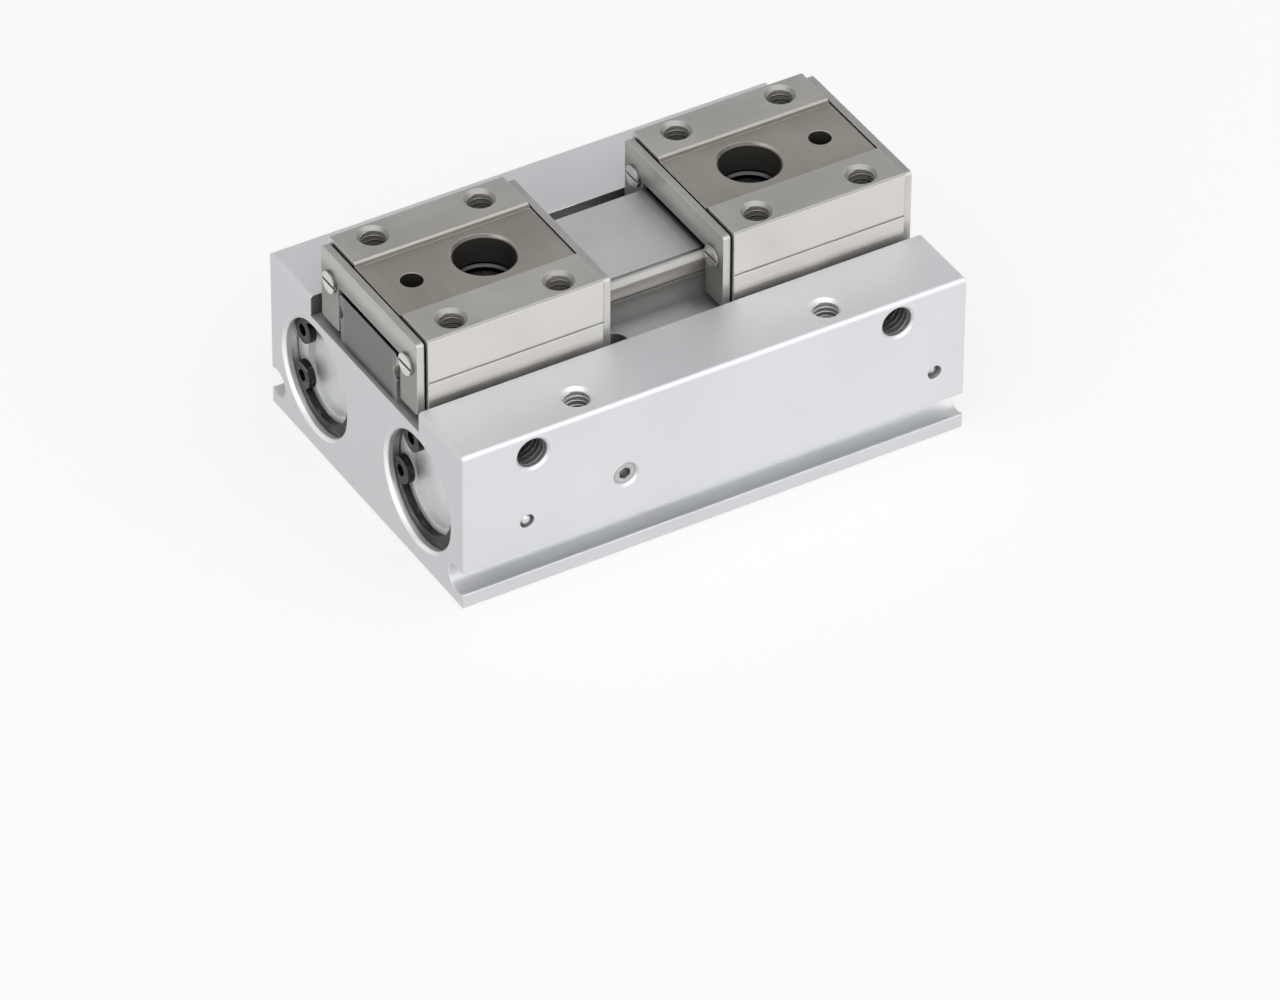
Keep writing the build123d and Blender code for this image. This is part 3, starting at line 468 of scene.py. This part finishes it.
def ground_steel(looks):
    """Ground finger faces, with a warmer, coarser floor in the shallow recess along the top, painted shade on the
    upward faces, the chamfers, the recess walls and in the plain holes, and painted light low on the sides.
    """
    f = Finish("ground_steel")
    low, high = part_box("right_finger")
    half_recess = (high.y - low.y) / 2 - 6.4 * MM
    recess_floor = high.z - 0.5 * MM
    axes = f.add("ShaderNodeSeparateXYZ", {"Vector": f.place}).outputs
    across = f.math("ABSOLUTE", axes["Y"])
    inside = f.ramp(across, half_recess + 0.06 * MM, half_recess + 0.02 * MM)
    above = f.math("GREATER_THAN", axes["Z"], recess_floor - 0.4 * MM)
    band = f.math("MULTIPLY", inside, above)
    # Painted shade inside the plain holes.
    drilled = f.math("MULTIPLY", drilled_walls(f, axes), f.math("LESS_THAN", axes["Z"], recess_floor - 0.25 * MM))
    fine = f.group("streaks", vector=f.place, stretch=(110.0, 7200.0, 7200.0)).outputs["Value"]
    coarse = f.group("streaks", vector=f.place, stretch=(5200.0, 90.0, 5200.0)).outputs["Value"]
    lines = f.average(fine, coarse, band)
    patches = f.group("patches", vector=f.place, scale=85.0).outputs["Value"]
    edge = f.worn_and_highlit(looks.edge_radius)
    mottled = f.average(lines, patches, 0.4)
    # Painted light: the sides grow lighter towards their foot, in place of a reflection.
    foot = f.ramp(axes["Z"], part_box("body")[1].z + 0.4 * MM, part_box("body")[1].z + 1.7 * MM, 1.36, 1.0)
    sides = f.vector("SCALE", f.tinted(mottled, looks.ground, 0.92, 1.05), foot)
    # Painted shade: the upward faces take the darker pad tone, and the chamfers of the holes in them a darker one
    # still.
    upward = f.facing("Z", 0.3, 0.5)
    mouths = f.math("MULTIPLY", upward, f.facing("Z", 0.9, 0.8))
    flat = f.tinted(mottled, looks.pads, 0.88, 1.08)
    pads = f.mix(upward, sides, f.mix(mouths, flat, [0.66 * v for v in looks.pads]))
    # Painted shade on the lower part of the recess walls that face across the finger.
    lip = f.ramp(axes["Z"], high.z - 0.26 * MM, high.z - 0.2 * MM)
    step = f.mix(lip, [0.35 * v for v in looks.band], looks.band)
    milled = f.mix(f.facing("Y", 0.4, 0.6), f.tinted(mottled, looks.band, 0.84, 1.10), step)
    # Edges brightened partly as wear and partly as a painted highlight.
    ground = f.mix(edge.outputs["Mask"], f.mix(band, pads, milled), (0.86, 0.85, 0.83))
    above_ledge = f.math("GREATER_THAN", axes["Z"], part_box("body")[1].z + 0.2 * MM)
    outside = f.math("MULTIPLY", f.math("GREATER_THAN", across, high.y - 0.05 * MM), above_ledge)
    # Painted shade in the plain holes, then the painted shade of gaps, which is spared on the outer sides above the
    # ledge.
    f.base(f.mix(drilled, ground, [0.35 * v for v in looks.band]), looks.gap_shade_reach, 0.06, outside)
    rough = f.ramp(mottled, 0.25, 0.75, looks.ground_roughness - 0.07, looks.ground_roughness + 0.08)
    f.set(Roughness=rough, Metallic=f.ramp(outside, 0.0, 1.0, 0.88, 0.6))
    f.set(Normal=f.relief(lines, 0.007 * MM, edge.outputs["Normal"]))
    return f.material


def drilled_walls(f, axes):
    """One inside the two plain holes of each finger, over its rail bolt and for its locating pin, where painted shade
    goes.
    """
    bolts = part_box("rail_bolts")[1]
    along = f.math("ABSOLUTE", axes["X"])
    masks = []
    pin = mount_named("jaw_pin_right")
    places = ((bolts.x - bolts.y, 4.0 * MM), (pin["pos_m"][0], pin["dims"]["r_mm"] * MM))
    for centre, radius in places:
        masks.append(f.math("LESS_THAN", f.spread(along, axes["Y"], centre, 0.0), radius + 0.1 * MM))
    return f.math("MAXIMUM", *masks)


def rail_steel(looks):
    """Blue-grey ground rail: painted light on the upper sides, painted shade on the raceway's lower flank, the long
    top edges, the ends and the counterbores, and darker brown below the raceway.
    """
    f = Finish("rail_steel")
    low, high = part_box("guide_rail")
    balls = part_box("right_guide_balls")
    axes = f.add("ShaderNodeSeparateXYZ", {"Vector": f.place}).outputs
    across = f.math("ABSOLUTE", axes["Y"])
    side = f.ramp(across, high.y - 1.2 * MM, high.y - 1.1 * MM)
    side = f.math("MULTIPLY", side, f.math("LESS_THAN", axes["Z"], high.z - 0.2 * MM))
    corner = f.math("MULTIPLY", f.ramp(across, high.y - 0.32 * MM, high.y - 0.22 * MM), f.facing("Z", 0.3, 0.5))
    row_top, row_low = balls[1].z, balls[0].z
    upper = f.math("MULTIPLY", side, f.ramp(axes["Z"], row_top - 0.15 * MM, row_top + 0.05 * MM))
    lower = f.math("MULTIPLY", side, f.ramp(axes["Z"], row_low + 0.1 * MM, row_low - 0.05 * MM))
    lines = f.group("streaks", vector=f.place, stretch=(60.0, 6500.0, 6500.0)).outputs["Value"]
    patches = f.group("patches", vector=f.place, scale=70.0).outputs["Value"]
    edge = f.worn_and_highlit(looks.edge_radius)
    mottled = f.average(lines, patches, 0.4)
    # Painted shade: the raceway's upward lower flank takes a much darker tone than its upper flank.
    track = f.mix(f.ramp(f.turned_to("Z"), -0.5, 0.5), looks.raceway, looks.raceway_shade)
    raceway = f.mix(side, f.tinted(mottled, looks.rail, 0.88, 1.08), track)
    # Painted light on the upper sides, in place of a bright reflection, with painted shade growing towards the top
    # edge.
    polished = f.tinted(mottled, looks.lit_rail_side, 0.93, 1.05)
    polished = f.vector("SCALE", polished, f.ramp(axes["Z"], high.z - 0.8 * MM, high.z - 0.25 * MM, 1.0, 0.5))
    lapped = f.mix(upper, raceway, polished)
    # Below the raceway the sides are dark, darkest just under it and lighter towards the foot.
    towards_foot = f.ramp(axes["Z"], row_low, low.z + 1.5 * MM)
    dimmer = f.tinted(f.average(mottled, towards_foot, 0.6), looks.rail_foot, 0.62, 1.25)
    # Painted shade on the ends of the rail.
    shaded = f.tinted(mottled, looks.rail_end_shade, 0.8, 1.2)
    tone = f.mix(f.facing("X"), f.mix(lower, lapped, dimmer), shaded)
    # Edges brightened partly as wear and partly as a painted highlight.
    worn_and_highlit_tone = f.mix(edge.outputs["Mask"], tone, (0.86, 0.86, 0.85))
    # Painted shade on the long top edges, over the brightened ones.
    worn_and_highlit = f.mix(corner, worn_and_highlit_tone, looks.rail_edge_shade)
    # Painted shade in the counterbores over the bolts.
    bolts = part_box("rail_bolts")[1]
    from_bolt = f.spread(f.math("ABSOLUTE", axes["X"]), axes["Y"], bolts.x - bolts.y, 0.0)
    counterbore = f.math("LESS_THAN", from_bolt, bolts.y + 0.8 * MM)
    f.base(f.mix(counterbore, worn_and_highlit, [0.6 * v for v in looks.screw]), looks.recess_shade_reach, 0.05, side)
    f.set(Metallic=f.ramp(side, 0.0, 1.0, 1.0, 0.25))
    f.set(Roughness=f.ramp(patches, 0.0, 1.0, 0.27, 0.38))
    f.set(Normal=f.relief(lines, 0.006 * MM, edge.outputs["Normal"]))
    return f.material


def plain_metal(name, tone, edge_tone, looks, roughness, wear=1.0, deepest_shade=0.12):
    """A metal with a fine even grain, faint scratches and edges that turn another colour, partly as wear and partly
    as a painted highlight.
    """
    f = Finish(name, Metallic=1.0)
    grain = f.noise(f.place, 5400.0, 3.0)
    scratches = f.ramp(f.noise(f.vector("MULTIPLY", f.place, (2600.0, 260.0, 2600.0)), 1.0, 2.0), 0.60, 0.66)
    patches = f.group("patches", vector=f.place, scale=225.0).outputs["Value"]
    edge = f.worn_and_highlit(looks.edge_radius, wear)
    mottled = f.tinted(f.average(grain, patches, 0.5), tone, 0.80, 1.15)
    marked = f.mix(f.math("MULTIPLY", scratches, 0.35), mottled, edge_tone)
    # Edges turned to the edge tone, partly as wear and partly as a painted highlight.
    f.base(f.mix(edge.outputs["Mask"], marked, edge_tone), looks.recess_shade_reach, deepest_shade)
    f.set(Roughness=f.ramp(patches, 0.0, 1.0, roughness - 0.06, roughness + 0.08))
    f.set(Normal=f.relief(grain, 0.004 * MM, edge.outputs["Normal"]))
    return f.material


def pressed_plate(looks):
    """Sheet steel, dark on its rolled faces as painted shade, with painted light near their top, and bright on its
    sheared edges.
    """
    f = Finish("pressed_plate", Metallic=0.55)
    rolled = f.group("streaks", vector=f.place, stretch=(4800.0, 160.0, 4800.0)).outputs["Value"]
    patches = f.group("patches", vector=f.place, scale=180.0).outputs["Value"]
    mottled = f.average(rolled, patches, 0.45)
    face = f.tinted(mottled, looks.plate, 0.80, 1.18)
    edges = f.tinted(mottled, looks.plate_edge, 0.88, 1.10)
    sheared = f.vector("SCALE", edges, f.ramp(f.facing("Z"), 0.0, 1.0, 1.0, 0.62))
    edge = f.worn_and_highlit(looks.edge_radius)
    height = f.add("ShaderNodeSeparateXYZ", {"Vector": f.place}).outputs["Z"]
    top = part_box("right_outer_end_plate")[1].z
    # The edges are darker where they face up. On the faces, painted shade low down and painted light near their top.
    lighter_to_top = f.vector("SCALE", face, f.ramp(height, top - 3.2 * MM, top - 1.6 * MM, 0.70, 1.2))
    tone = f.mix(f.facing("X"), sheared, lighter_to_top)
    # Edges brightened partly as wear and partly as a painted highlight.
    f.base(f.mix(edge.outputs["Mask"], tone, (0.84, 0.83, 0.81)), looks.gap_shade_reach, 0.25)
    f.set(Roughness=f.ramp(patches, 0.0, 1.0, 0.34, 0.46))
    f.set(Normal=f.relief(rolled, 0.006 * MM, edge.outputs["Normal"]))
    return f.material


def polished_balls():
    """Mirror-bright bearing balls and rollers with a trace of oil."""
    f = Finish("polished_steel", Metallic=1.0, Coat_Weight=0.3)
    film = f.noise(f.place, 900.0, 2.0)
    f.set(Base_Color=f.mix(film, (0.74, 0.74, 0.74), (0.86, 0.86, 0.85)))
    f.set(Roughness=f.ramp(film, 0.3, 0.7, 0.05, 0.12))
    return f.material


def moulded(name, tone, roughness, grain_scale, see_through=0.0):
    """Rubber, urethane or bonded magnet: a fine moulded grain with dusty, lighter patches."""
    f = Finish(name, Transmission_Weight=see_through)
    grain = f.noise(f.place, grain_scale, 3.0)
    patches = f.group("patches", vector=f.place, scale=300.0).outputs["Value"]
    f.set(Base_Color=f.tinted(f.average(grain, patches, 0.6), tone, 0.75, 1.5))
    f.set(Roughness=f.ramp(patches, 0.0, 1.0, roughness - 0.08, roughness + 0.08))
    f.set(Normal=f.relief(grain, 0.012 * MM, f.worn_and_highlit(0.1 * MM).outputs["Normal"]))
    return f.material


def finish(material, *names):
    """Puts a material on these nodes."""
    for name in names:
        slots = NODES[name].data.materials
        if slots:
            slots[0] = material
        else:
            slots.append(material)


def matching(*endings):
    """The nodes whose names end in one of these."""
    return sorted(name for name in NODES if name.endswith(endings))


def looks_of(context):
    return context.scene.gripper_finishes


# Cut threads


def thread_tree():
    """Geometry: at each point of the mesh, a helical ridge that runs down a hole."""
    inputs = [
        ("Geometry", "NodeSocketGeometry", None),
        ("Hole radius", FLOAT, 1.65 * MM),
        ("Pitch", FLOAT, 0.7 * MM),
        ("Depth", FLOAT, 5.0 * MM),
        ("Lead-in", FLOAT, 0.5 * MM),
        ("Ridge", FLOAT, 0.1 * MM),
        ("Steps", "NodeSocketInt", 28),
        ("Into the hole", "NodeSocketRotation", None),
        ("Material", "NodeSocketMaterial", None),
    ]
    outputs = [("Geometry", "NodeSocketGeometry")]
    tree, start, end = new_group("cut_thread", inputs, outputs, "GeometryNodeTree")
    given = start.outputs
    height = tree.math("SUBTRACT", given["Depth"], given["Lead-in"])
    turns = tree.math("DIVIDE", height, given["Pitch"])
    spiral_inputs = {
        "Resolution": given["Steps"],
        "Rotations": turns,
        "Start Radius": given["Hole radius"],
        "End Radius": given["Hole radius"],
        "Height": height,
    }
    spiral = tree.add("GeometryNodeCurveSpiral", spiral_inputs).outputs["Curve"]
    profile = tree.add("GeometryNodeCurvePrimitiveCircle", {"Resolution": 4, "Radius": given["Ridge"]}, mode="RADIUS")
    sweep = {"Curve": spiral, "Profile Curve": profile.outputs["Curve"], "Fill Caps": True}
    ridge = tree.add("GeometryNodeCurveToMesh", sweep).outputs["Mesh"]
    down = tree.add("ShaderNodeCombineXYZ", {"Z": given["Lead-in"]}).outputs[0]
    placed = tree.add("GeometryNodeTransform", {"Geometry": ridge, "Translation": down}).outputs["Geometry"]
    points = tree.add("GeometryNodeMeshToPoints", {"Mesh": given["Geometry"]}).outputs["Points"]
    copies = {"Points": points, "Instance": placed, "Rotation": given["Into the hole"]}
    ridges = tree.add("GeometryNodeInstanceOnPoints", copies).outputs["Instances"]
    real = tree.add("GeometryNodeRealizeInstances", {"Geometry": ridges}).outputs["Geometry"]
    coated = tree.add("GeometryNodeSetMaterial", {"Geometry": real, "Material": given["Material"]})
    tree.feed(end.inputs["Geometry"], coated.outputs["Geometry"])
    return tree.tree


def mount_named(name):
    return next(mount for mount in RECORD["mounts"] if mount["name"] == name)


def hole_mouths(mount, node):
    """The mouth of each hole of a mount, on the face of the node that the holes open in."""
    low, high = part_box(node)
    axis = Vector(mount["axis"])
    centre = Vector(mount["pos_m"])
    along = max(range(3), key=lambda i: abs(axis[i]))
    centre[along] = high[along] if axis[along] > 0 else low[along]
    first, second = [i for i in range(3) if i != along]
    half_first = mount["dims"].get("spacing_x_mm", 0.0) * MM / 2
    half_second = mount["dims"].get("spacing_y_mm", 0.0) * MM / 2
    mouths = []
    for step in sorted({-half_first, half_first}):
        for rise in sorted({-half_second, half_second}):
            mouth = centre.copy()
            mouth[first] += step
            mouth[second] += rise
            mouths.append(mouth)
    return mouths


def set_input(modifier, tree, label, value):
    """Sets a modifier's input by the identifier of the socket with that label."""
    sockets = tree.interface.items_tree
    socket = next(item for item in sockets if item.name == label and item.in_out == "INPUT")
    modifier[socket.identifier] = value


def plain_mesh(source, name):
    """The evaluated object as a plain mesh object of its own; the source is removed."""
    graph = bpy.context.evaluated_depsgraph_get()
    mesh = bpy.data.meshes.new_from_object(source.evaluated_get(graph))
    bpy.data.objects.remove(source)
    mesh.name = name
    made = bpy.data.objects.new(name, mesh)
    bpy.context.scene.collection.objects.link(made)
    return made


def cut_threads(name, node, mounts, pitch, depth, sizes, material):
    """One mesh with the threads of these mounts' holes, which all open the same way."""
    found = [mount_named(mount) for mount in mounts]
    mouths = [mouth for mount in found for mouth in hole_mouths(mount, node)]
    radius = found[0]["dims"].get("hole_r_mm", found[0]["dims"].get("r_mm")) * MM
    inward = -Vector(found[0]["axis"])
    points = bpy.data.meshes.new(name)
    points.from_pydata(mouths, [], [])
    holder = bpy.data.objects.new(name + "_points", points)
    bpy.context.scene.collection.objects.link(holder)
    tree = bpy.data.node_groups["cut_thread"]
    modifier = holder.modifiers.new("cut_thread", "NODES")
    modifier.node_group = tree
    values = {
        "Hole radius": radius,
        "Pitch": pitch,
        "Depth": depth,
        "Lead-in": sizes.lead_in,
        "Ridge": sizes.ridge,
        "Steps": sizes.steps,
        "Into the hole": tuple(inward.to_track_quat("Z", "X").to_euler()),
        "Material": material,
    }
    for label, value in values.items():
        set_input(modifier, tree, label, value)
    return plain_mesh(holder, name)


# Operators, one for each group of like pieces


class GRIPPER_OT_effects(bpy.types.Operator):
    """Build the node groups that the finishes share"""

    bl_idname = "gripper.effects"
    bl_label = "Shared effects"

    def execute(self, context):
        edge_wear_and_highlight_group()
        painted_recess_shade_group()
        streak_group()
        patch_group()
        turned_rings_group()
        thread_tree()
        return {"FINISHED"}


class GRIPPER_OT_body(bpy.types.Operator):
    """Finish the anodised body"""

    bl_idname = "gripper.body"
    bl_label = "Body"

    def execute(self, context):
        finish(anodised_aluminium(looks_of(context)), "body")
        return {"FINISHED"}


class GRIPPER_OT_turned(bpy.types.Operator):
    """Finish the turned caps, pistons and pinion cover"""

    bl_idname = "gripper.turned"
    bl_label = "Caps and pistons"

    def execute(self, context):
        low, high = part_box("rear_right_cap")
        axis = ((0.0, (low.y + high.y) / 2, (low.z + high.z) / 2), (0.0, 1.0, 1.0))
        finish(turned_aluminium("turned_caps", looks_of(context), *axis), *matching("_cap", "_piston"))
        upright = ((0.0, 0.0, 0.0), (1.0, 1.0, 0.0))
        finish(turned_aluminium("turned_cover", looks_of(context), *upright), "pinion_cover")
        return {"FINISHED"}


class GRIPPER_OT_fingers(bpy.types.Operator):
    """Finish the ground fingers and their end plates"""

    bl_idname = "gripper.fingers"
    bl_label = "Fingers"

    def execute(self, context):
        looks = looks_of(context)
        finish(ground_steel(looks), *matching("_finger"))
        finish(pressed_plate(looks), *matching("_end_plate"))
        return {"FINISHED"}


class GRIPPER_OT_rail(bpy.types.Operator):
    """Finish the guide rail"""

    bl_idname = "gripper.rail"
    bl_label = "Guide rail"

    def execute(self, context):
        finish(rail_steel(looks_of(context)), "guide_rail")
        return {"FINISHED"}


class GRIPPER_OT_fasteners(bpy.types.Operator):
    """Finish the screws and snap rings"""

    bl_idname = "gripper.fasteners"
    bl_label = "Screws and rings"

    def execute(self, context):
        looks = looks_of(context)
        # Edge tone of the screws and rings: wear and painted highlight.
        worn_and_highlit = (0.45, 0.44, 0.42)
        black = plain_metal("blackened_screws", looks.screw, worn_and_highlit, looks, 0.38, wear=0.5)
        finish(black, "rail_bolts")
        finish(plain_metal("zinc_screw", (0.52, 0.52, 0.52), worn_and_highlit, looks, 0.38, deepest_shade=0.6), "grub_screw")
        bright = plain_metal("plated_screws", looks.plate_edge, (0.88, 0.88, 0.87), looks, 0.25)
        finish(bright, *matching("_end_screws"))
        spring = plain_metal("phosphated_rings", looks.phosphate, (0.30, 0.29, 0.28), looks, 0.45, wear=0.6)
        finish(spring, *matching("snap_ring"))
        return {"FINISHED"}


class GRIPPER_OT_gears(bpy.types.Operator):
    """Finish the racks, pinion, axle, joint pins, balls and rollers"""

    bl_idname = "gripper.gears"
    bl_label = "Racks and bearings"

    def execute(self, context):
        looks = looks_of(context)
        hardened = plain_metal("hardened_steel", looks.gear, (0.80, 0.79, 0.78), looks, 0.30)
        finish(hardened, *matching("_rack", "_joint_pin"), "pinion", "pinion_axle")
        finish(polished_balls(), *matching("_guide_balls"), "needle_rollers")
        plugs = plain_metal("pressed_plugs", (0.72, 0.72, 0.71), (0.80, 0.80, 0.79), looks, 0.42, deepest_shade=0.85)
        finish(plugs, "ball_plugs")
        return {"FINISHED"}


class GRIPPER_OT_soft(bpy.types.Operator):
    """Finish the seals, O-rings, bumpers and magnets"""

    bl_idname = "gripper.soft"
    bl_label = "Seals and bumpers"

    def execute(self, context):
        looks = looks_of(context)
        finish(moulded("seal_rubber", looks.rubber, 0.55, 5200.0), *matching("_seal", "_seals", "_o_rings"))
        finish(moulded("cast_urethane", looks.urethane, 0.40, 2600.0, 0.25), *matching("_bumper"))
        finish(moulded("bonded_magnet", looks.magnet, 0.60, 6800.0), *matching("_magnets"))
        return {"FINISHED"}


class GRIPPER_OT_threads(bpy.types.Operator):
    """Cut the threads of the jaw, ledge, port and base holes"""

    bl_idname = "gripper.threads"
    bl_label = "Threads"

    def execute(self, context):
        looks = looks_of(context)
        sizes = context.scene.gripper_threads
        # Painted shade: the port and base threads take a dark tone. The ledge threads take a lighter one, with less
        # of the painted shade of recesses.
        shaded_cut_aluminium = plain_metal("shaded_cut_aluminium", (0.40, 0.40, 0.41), (0.62, 0.62, 0.62), looks, 0.34)
        less_shaded = plain_metal("less_shaded_aluminium", (0.66, 0.66, 0.67), (0.80, 0.80, 0.80), looks, 0.34, deepest_shade=0.7)
        cut_steel = plain_metal("cut_steel", looks.pads, (0.75, 0.74, 0.72), looks, 0.32)
        m4, m5 = sizes.m4_pitch, sizes.m5_pitch
        housing = (
            ("ledge_threads", ("ledge_bolts",), m4, sizes.ledge_depth, less_shaded),
            ("port_threads", ("port_left", "port_right"), m5, sizes.port_depth, shaded_cut_aluminium),
            ("base_threads", ("base_bolts",), m5, sizes.base_depth, shaded_cut_aluminium),
        )
        for name, mounts, pitch, depth, material in housing:
            piece = cut_threads(name, "body", mounts, pitch, depth, sizes, material)
            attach(piece, "housing")
        for side in ("left", "right"):
            mounts = (f"jaw_bolts_{side}",)
            name, node = f"{side}_jaw_threads", f"{side}_finger"
            piece = cut_threads(name, node, mounts, m4, sizes.jaw_depth, sizes, cut_steel)
            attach(piece, f"{side}_jaw")
        return {"FINISHED"}


class GRIPPER_OT_studio(bpy.types.Operator):
    """Make the floor, world, lights and camera"""

    bl_idname = "gripper.studio"
    bl_label = "Studio"

    def execute(self, context):
        studio = context.scene.gripper_studio
        make_floor(studio)
        make_world(context.scene, studio)
        make_lights(studio)
        make_camera(context.scene, studio)
        return {"FINISHED"}


# Studio


def make_floor(studio):
    """A wide pale floor just under the mounting face."""
    half = studio.floor_size / 2
    drop = -0.05 * MM
    corners = [(-half, -half, drop), (half, -half, drop), (half, half, drop), (-half, half, drop)]
    mesh = bpy.data.meshes.new("floor")
    mesh.from_pydata(corners, [], [(0, 1, 2, 3)])
    floor = bpy.data.objects.new("floor", mesh)
    bpy.context.scene.collection.objects.link(floor)
    f = Finish("pale_floor", Roughness=0.9, Specular_IOR_Level=0.0)
    grain = f.noise(f.place, 900.0, 3.0)
    f.set(Base_Color=f.tinted(grain, studio.floor_colour, 0.99, 1.01))
    f.set(Normal=f.relief(grain, 0.01 * MM, f.add("ShaderNodeNewGeometry").outputs["Normal"]))
    white = f.add("ShaderNodeEmission", {"Color": (1.0, 1.0, 1.0), "Strength": 1.0}).outputs[0]
    seen = f.math("MULTIPLY", rays_that_see(f), studio.floor_glow)
    both = f.add("ShaderNodeMixShader", {0: seen, 1: f.surface.outputs[0], 2: white}).outputs[0]
    f.feed(f.tree.nodes["Material Output"].inputs["Surface"], both)
    mesh.materials.append(f.material)


def rays_that_see(tree):
    """One for the rays that show a background: the camera's, reflections and what passes through."""
    paths = tree.add("ShaderNodeLightPath").outputs
    seen = tree.math("MAXIMUM", paths["Is Camera Ray"], paths["Is Glossy Ray"])
    return tree.math("MAXIMUM", seen, paths["Is Transmission Ray"])


def make_world(scene, studio):
    """White below, at the horizon and in front, greyer overhead and behind. Softer for the light it gives."""
    world = bpy.data.worlds.new("studio_world")
    world.use_nodes = True
    world.node_tree.nodes.clear()
    t = Tree(world.node_tree)
    towards = t.add("ShaderNodeSeparateXYZ", {"Vector": t.add("ShaderNodeTexCoord").outputs["Generated"]}).outputs
    dark = t.math("MULTIPLY", t.ramp(towards["Z"], 0.16, 0.60), t.ramp(towards["Y"], -0.25, 0.35))
    seen = t.mix(dark, (1.0, 1.0, 1.0), studio.ceiling)
    shown = t.add("ShaderNodeBackground", {"Color": seen, "Strength": 1.0}).outputs[0]
    given = t.add("ShaderNodeBackground", {"Color": (1.0, 1.0, 1.0), "Strength": studio.ambient}).outputs[0]
    both = t.add("ShaderNodeMixShader", {0: rays_that_see(t), 1: given, 2: shown}).outputs[0]
    t.add("ShaderNodeOutputWorld", {"Surface": both})
    scene.world = world


def area_light(name, azimuth, elevation, distance, size, power):
    """A square soft light that faces the middle of the object."""
    lamp = bpy.data.lights.new(name, "AREA")
    lamp.size = size
    lamp.energy = power
    made = bpy.data.objects.new(name, lamp)
    away = Vector((
        math.sin(azimuth) * math.cos(elevation),
        -math.cos(azimuth) * math.cos(elevation),
        math.sin(elevation),
    ))
    made.location = away * distance
    made.rotation_euler = (-away).to_track_quat("-Z", "Y").to_euler()
    bpy.context.scene.collection.objects.link(made)


def make_lights(studio):
    area_light("key", math.radians(-18), math.radians(58), 1.6, studio.key_size, studio.key_power)


def make_camera(scene, studio):
    """The camera of the photograph: its direction, roll and long lens."""
    a, e, roll = studio.azimuth, studio.elevation, studio.roll
    back = Vector((math.sin(a) * math.cos(e), -math.cos(a) * math.cos(e), math.sin(e)))
    level = Vector((math.cos(a), math.sin(a), 0.0))
    upright = back.cross(level)
    right = level * math.cos(roll) + upright * math.sin(roll)
    up = upright * math.cos(roll) - level * math.sin(roll)
    lens = bpy.data.cameras.new("camera")
    lens.lens = studio.lens
    lens.clip_start = 0.05
    lens.clip_end = 20.0
    camera = bpy.data.objects.new("camera", lens)
    turned = [[right[i], up[i], back[i]] for i in range(3)]
    camera.rotation_euler = Matrix(turned).to_euler()
    camera.location = right * studio.side_step - up * studio.drop + back * studio.distance
    scene.collection.objects.link(camera)
    scene.camera = camera


class GRIPPER_PT_panel(bpy.types.Panel):
    """Steps and sizes of the gripper's finishes"""

    bl_label = "Parallel gripper"
    bl_space_type = "VIEW_3D"
    bl_region_type = "UI"
    bl_category = "Gripper"

    def draw(self, context):
        for step in STEPS:
            self.layout.operator(step.bl_idname)
        for group in ("gripper_finishes", "gripper_threads", "gripper_studio"):
            values = getattr(context.scene, group)
            box = self.layout.box()
            for name in values.__annotations__:
                box.prop(values, name)


STEPS = (
    GRIPPER_OT_effects,
    GRIPPER_OT_body,
    GRIPPER_OT_turned,
    GRIPPER_OT_fingers,
    GRIPPER_OT_rail,
    GRIPPER_OT_fasteners,
    GRIPPER_OT_gears,
    GRIPPER_OT_soft,
    GRIPPER_OT_threads,
    GRIPPER_OT_studio,
)
GROUPS = {
    "gripper_finishes": GripperFinishes,
    "gripper_threads": GripperThreads,
    "gripper_studio": GripperStudio,
}
CLASSES = (*GROUPS.values(), *STEPS, GRIPPER_PT_panel)


def register():
    for made in CLASSES:
        bpy.utils.register_class(made)
    for name, group in GROUPS.items():
        setattr(bpy.types.Scene, name, PointerProperty(type=group))


def unregister():
    for name in GROUPS:
        delattr(bpy.types.Scene, name)
    for made in reversed(CLASSES):
        bpy.utils.unregister_class(made)


def main():
    scene = bpy.context.scene
    scene.view_settings.view_transform = "Standard"
    register()
    for step in STEPS:
        group, name = step.bl_idname.split(".")
        getattr(getattr(bpy.ops, group), name)()


if __name__ == "__main__":
    main()
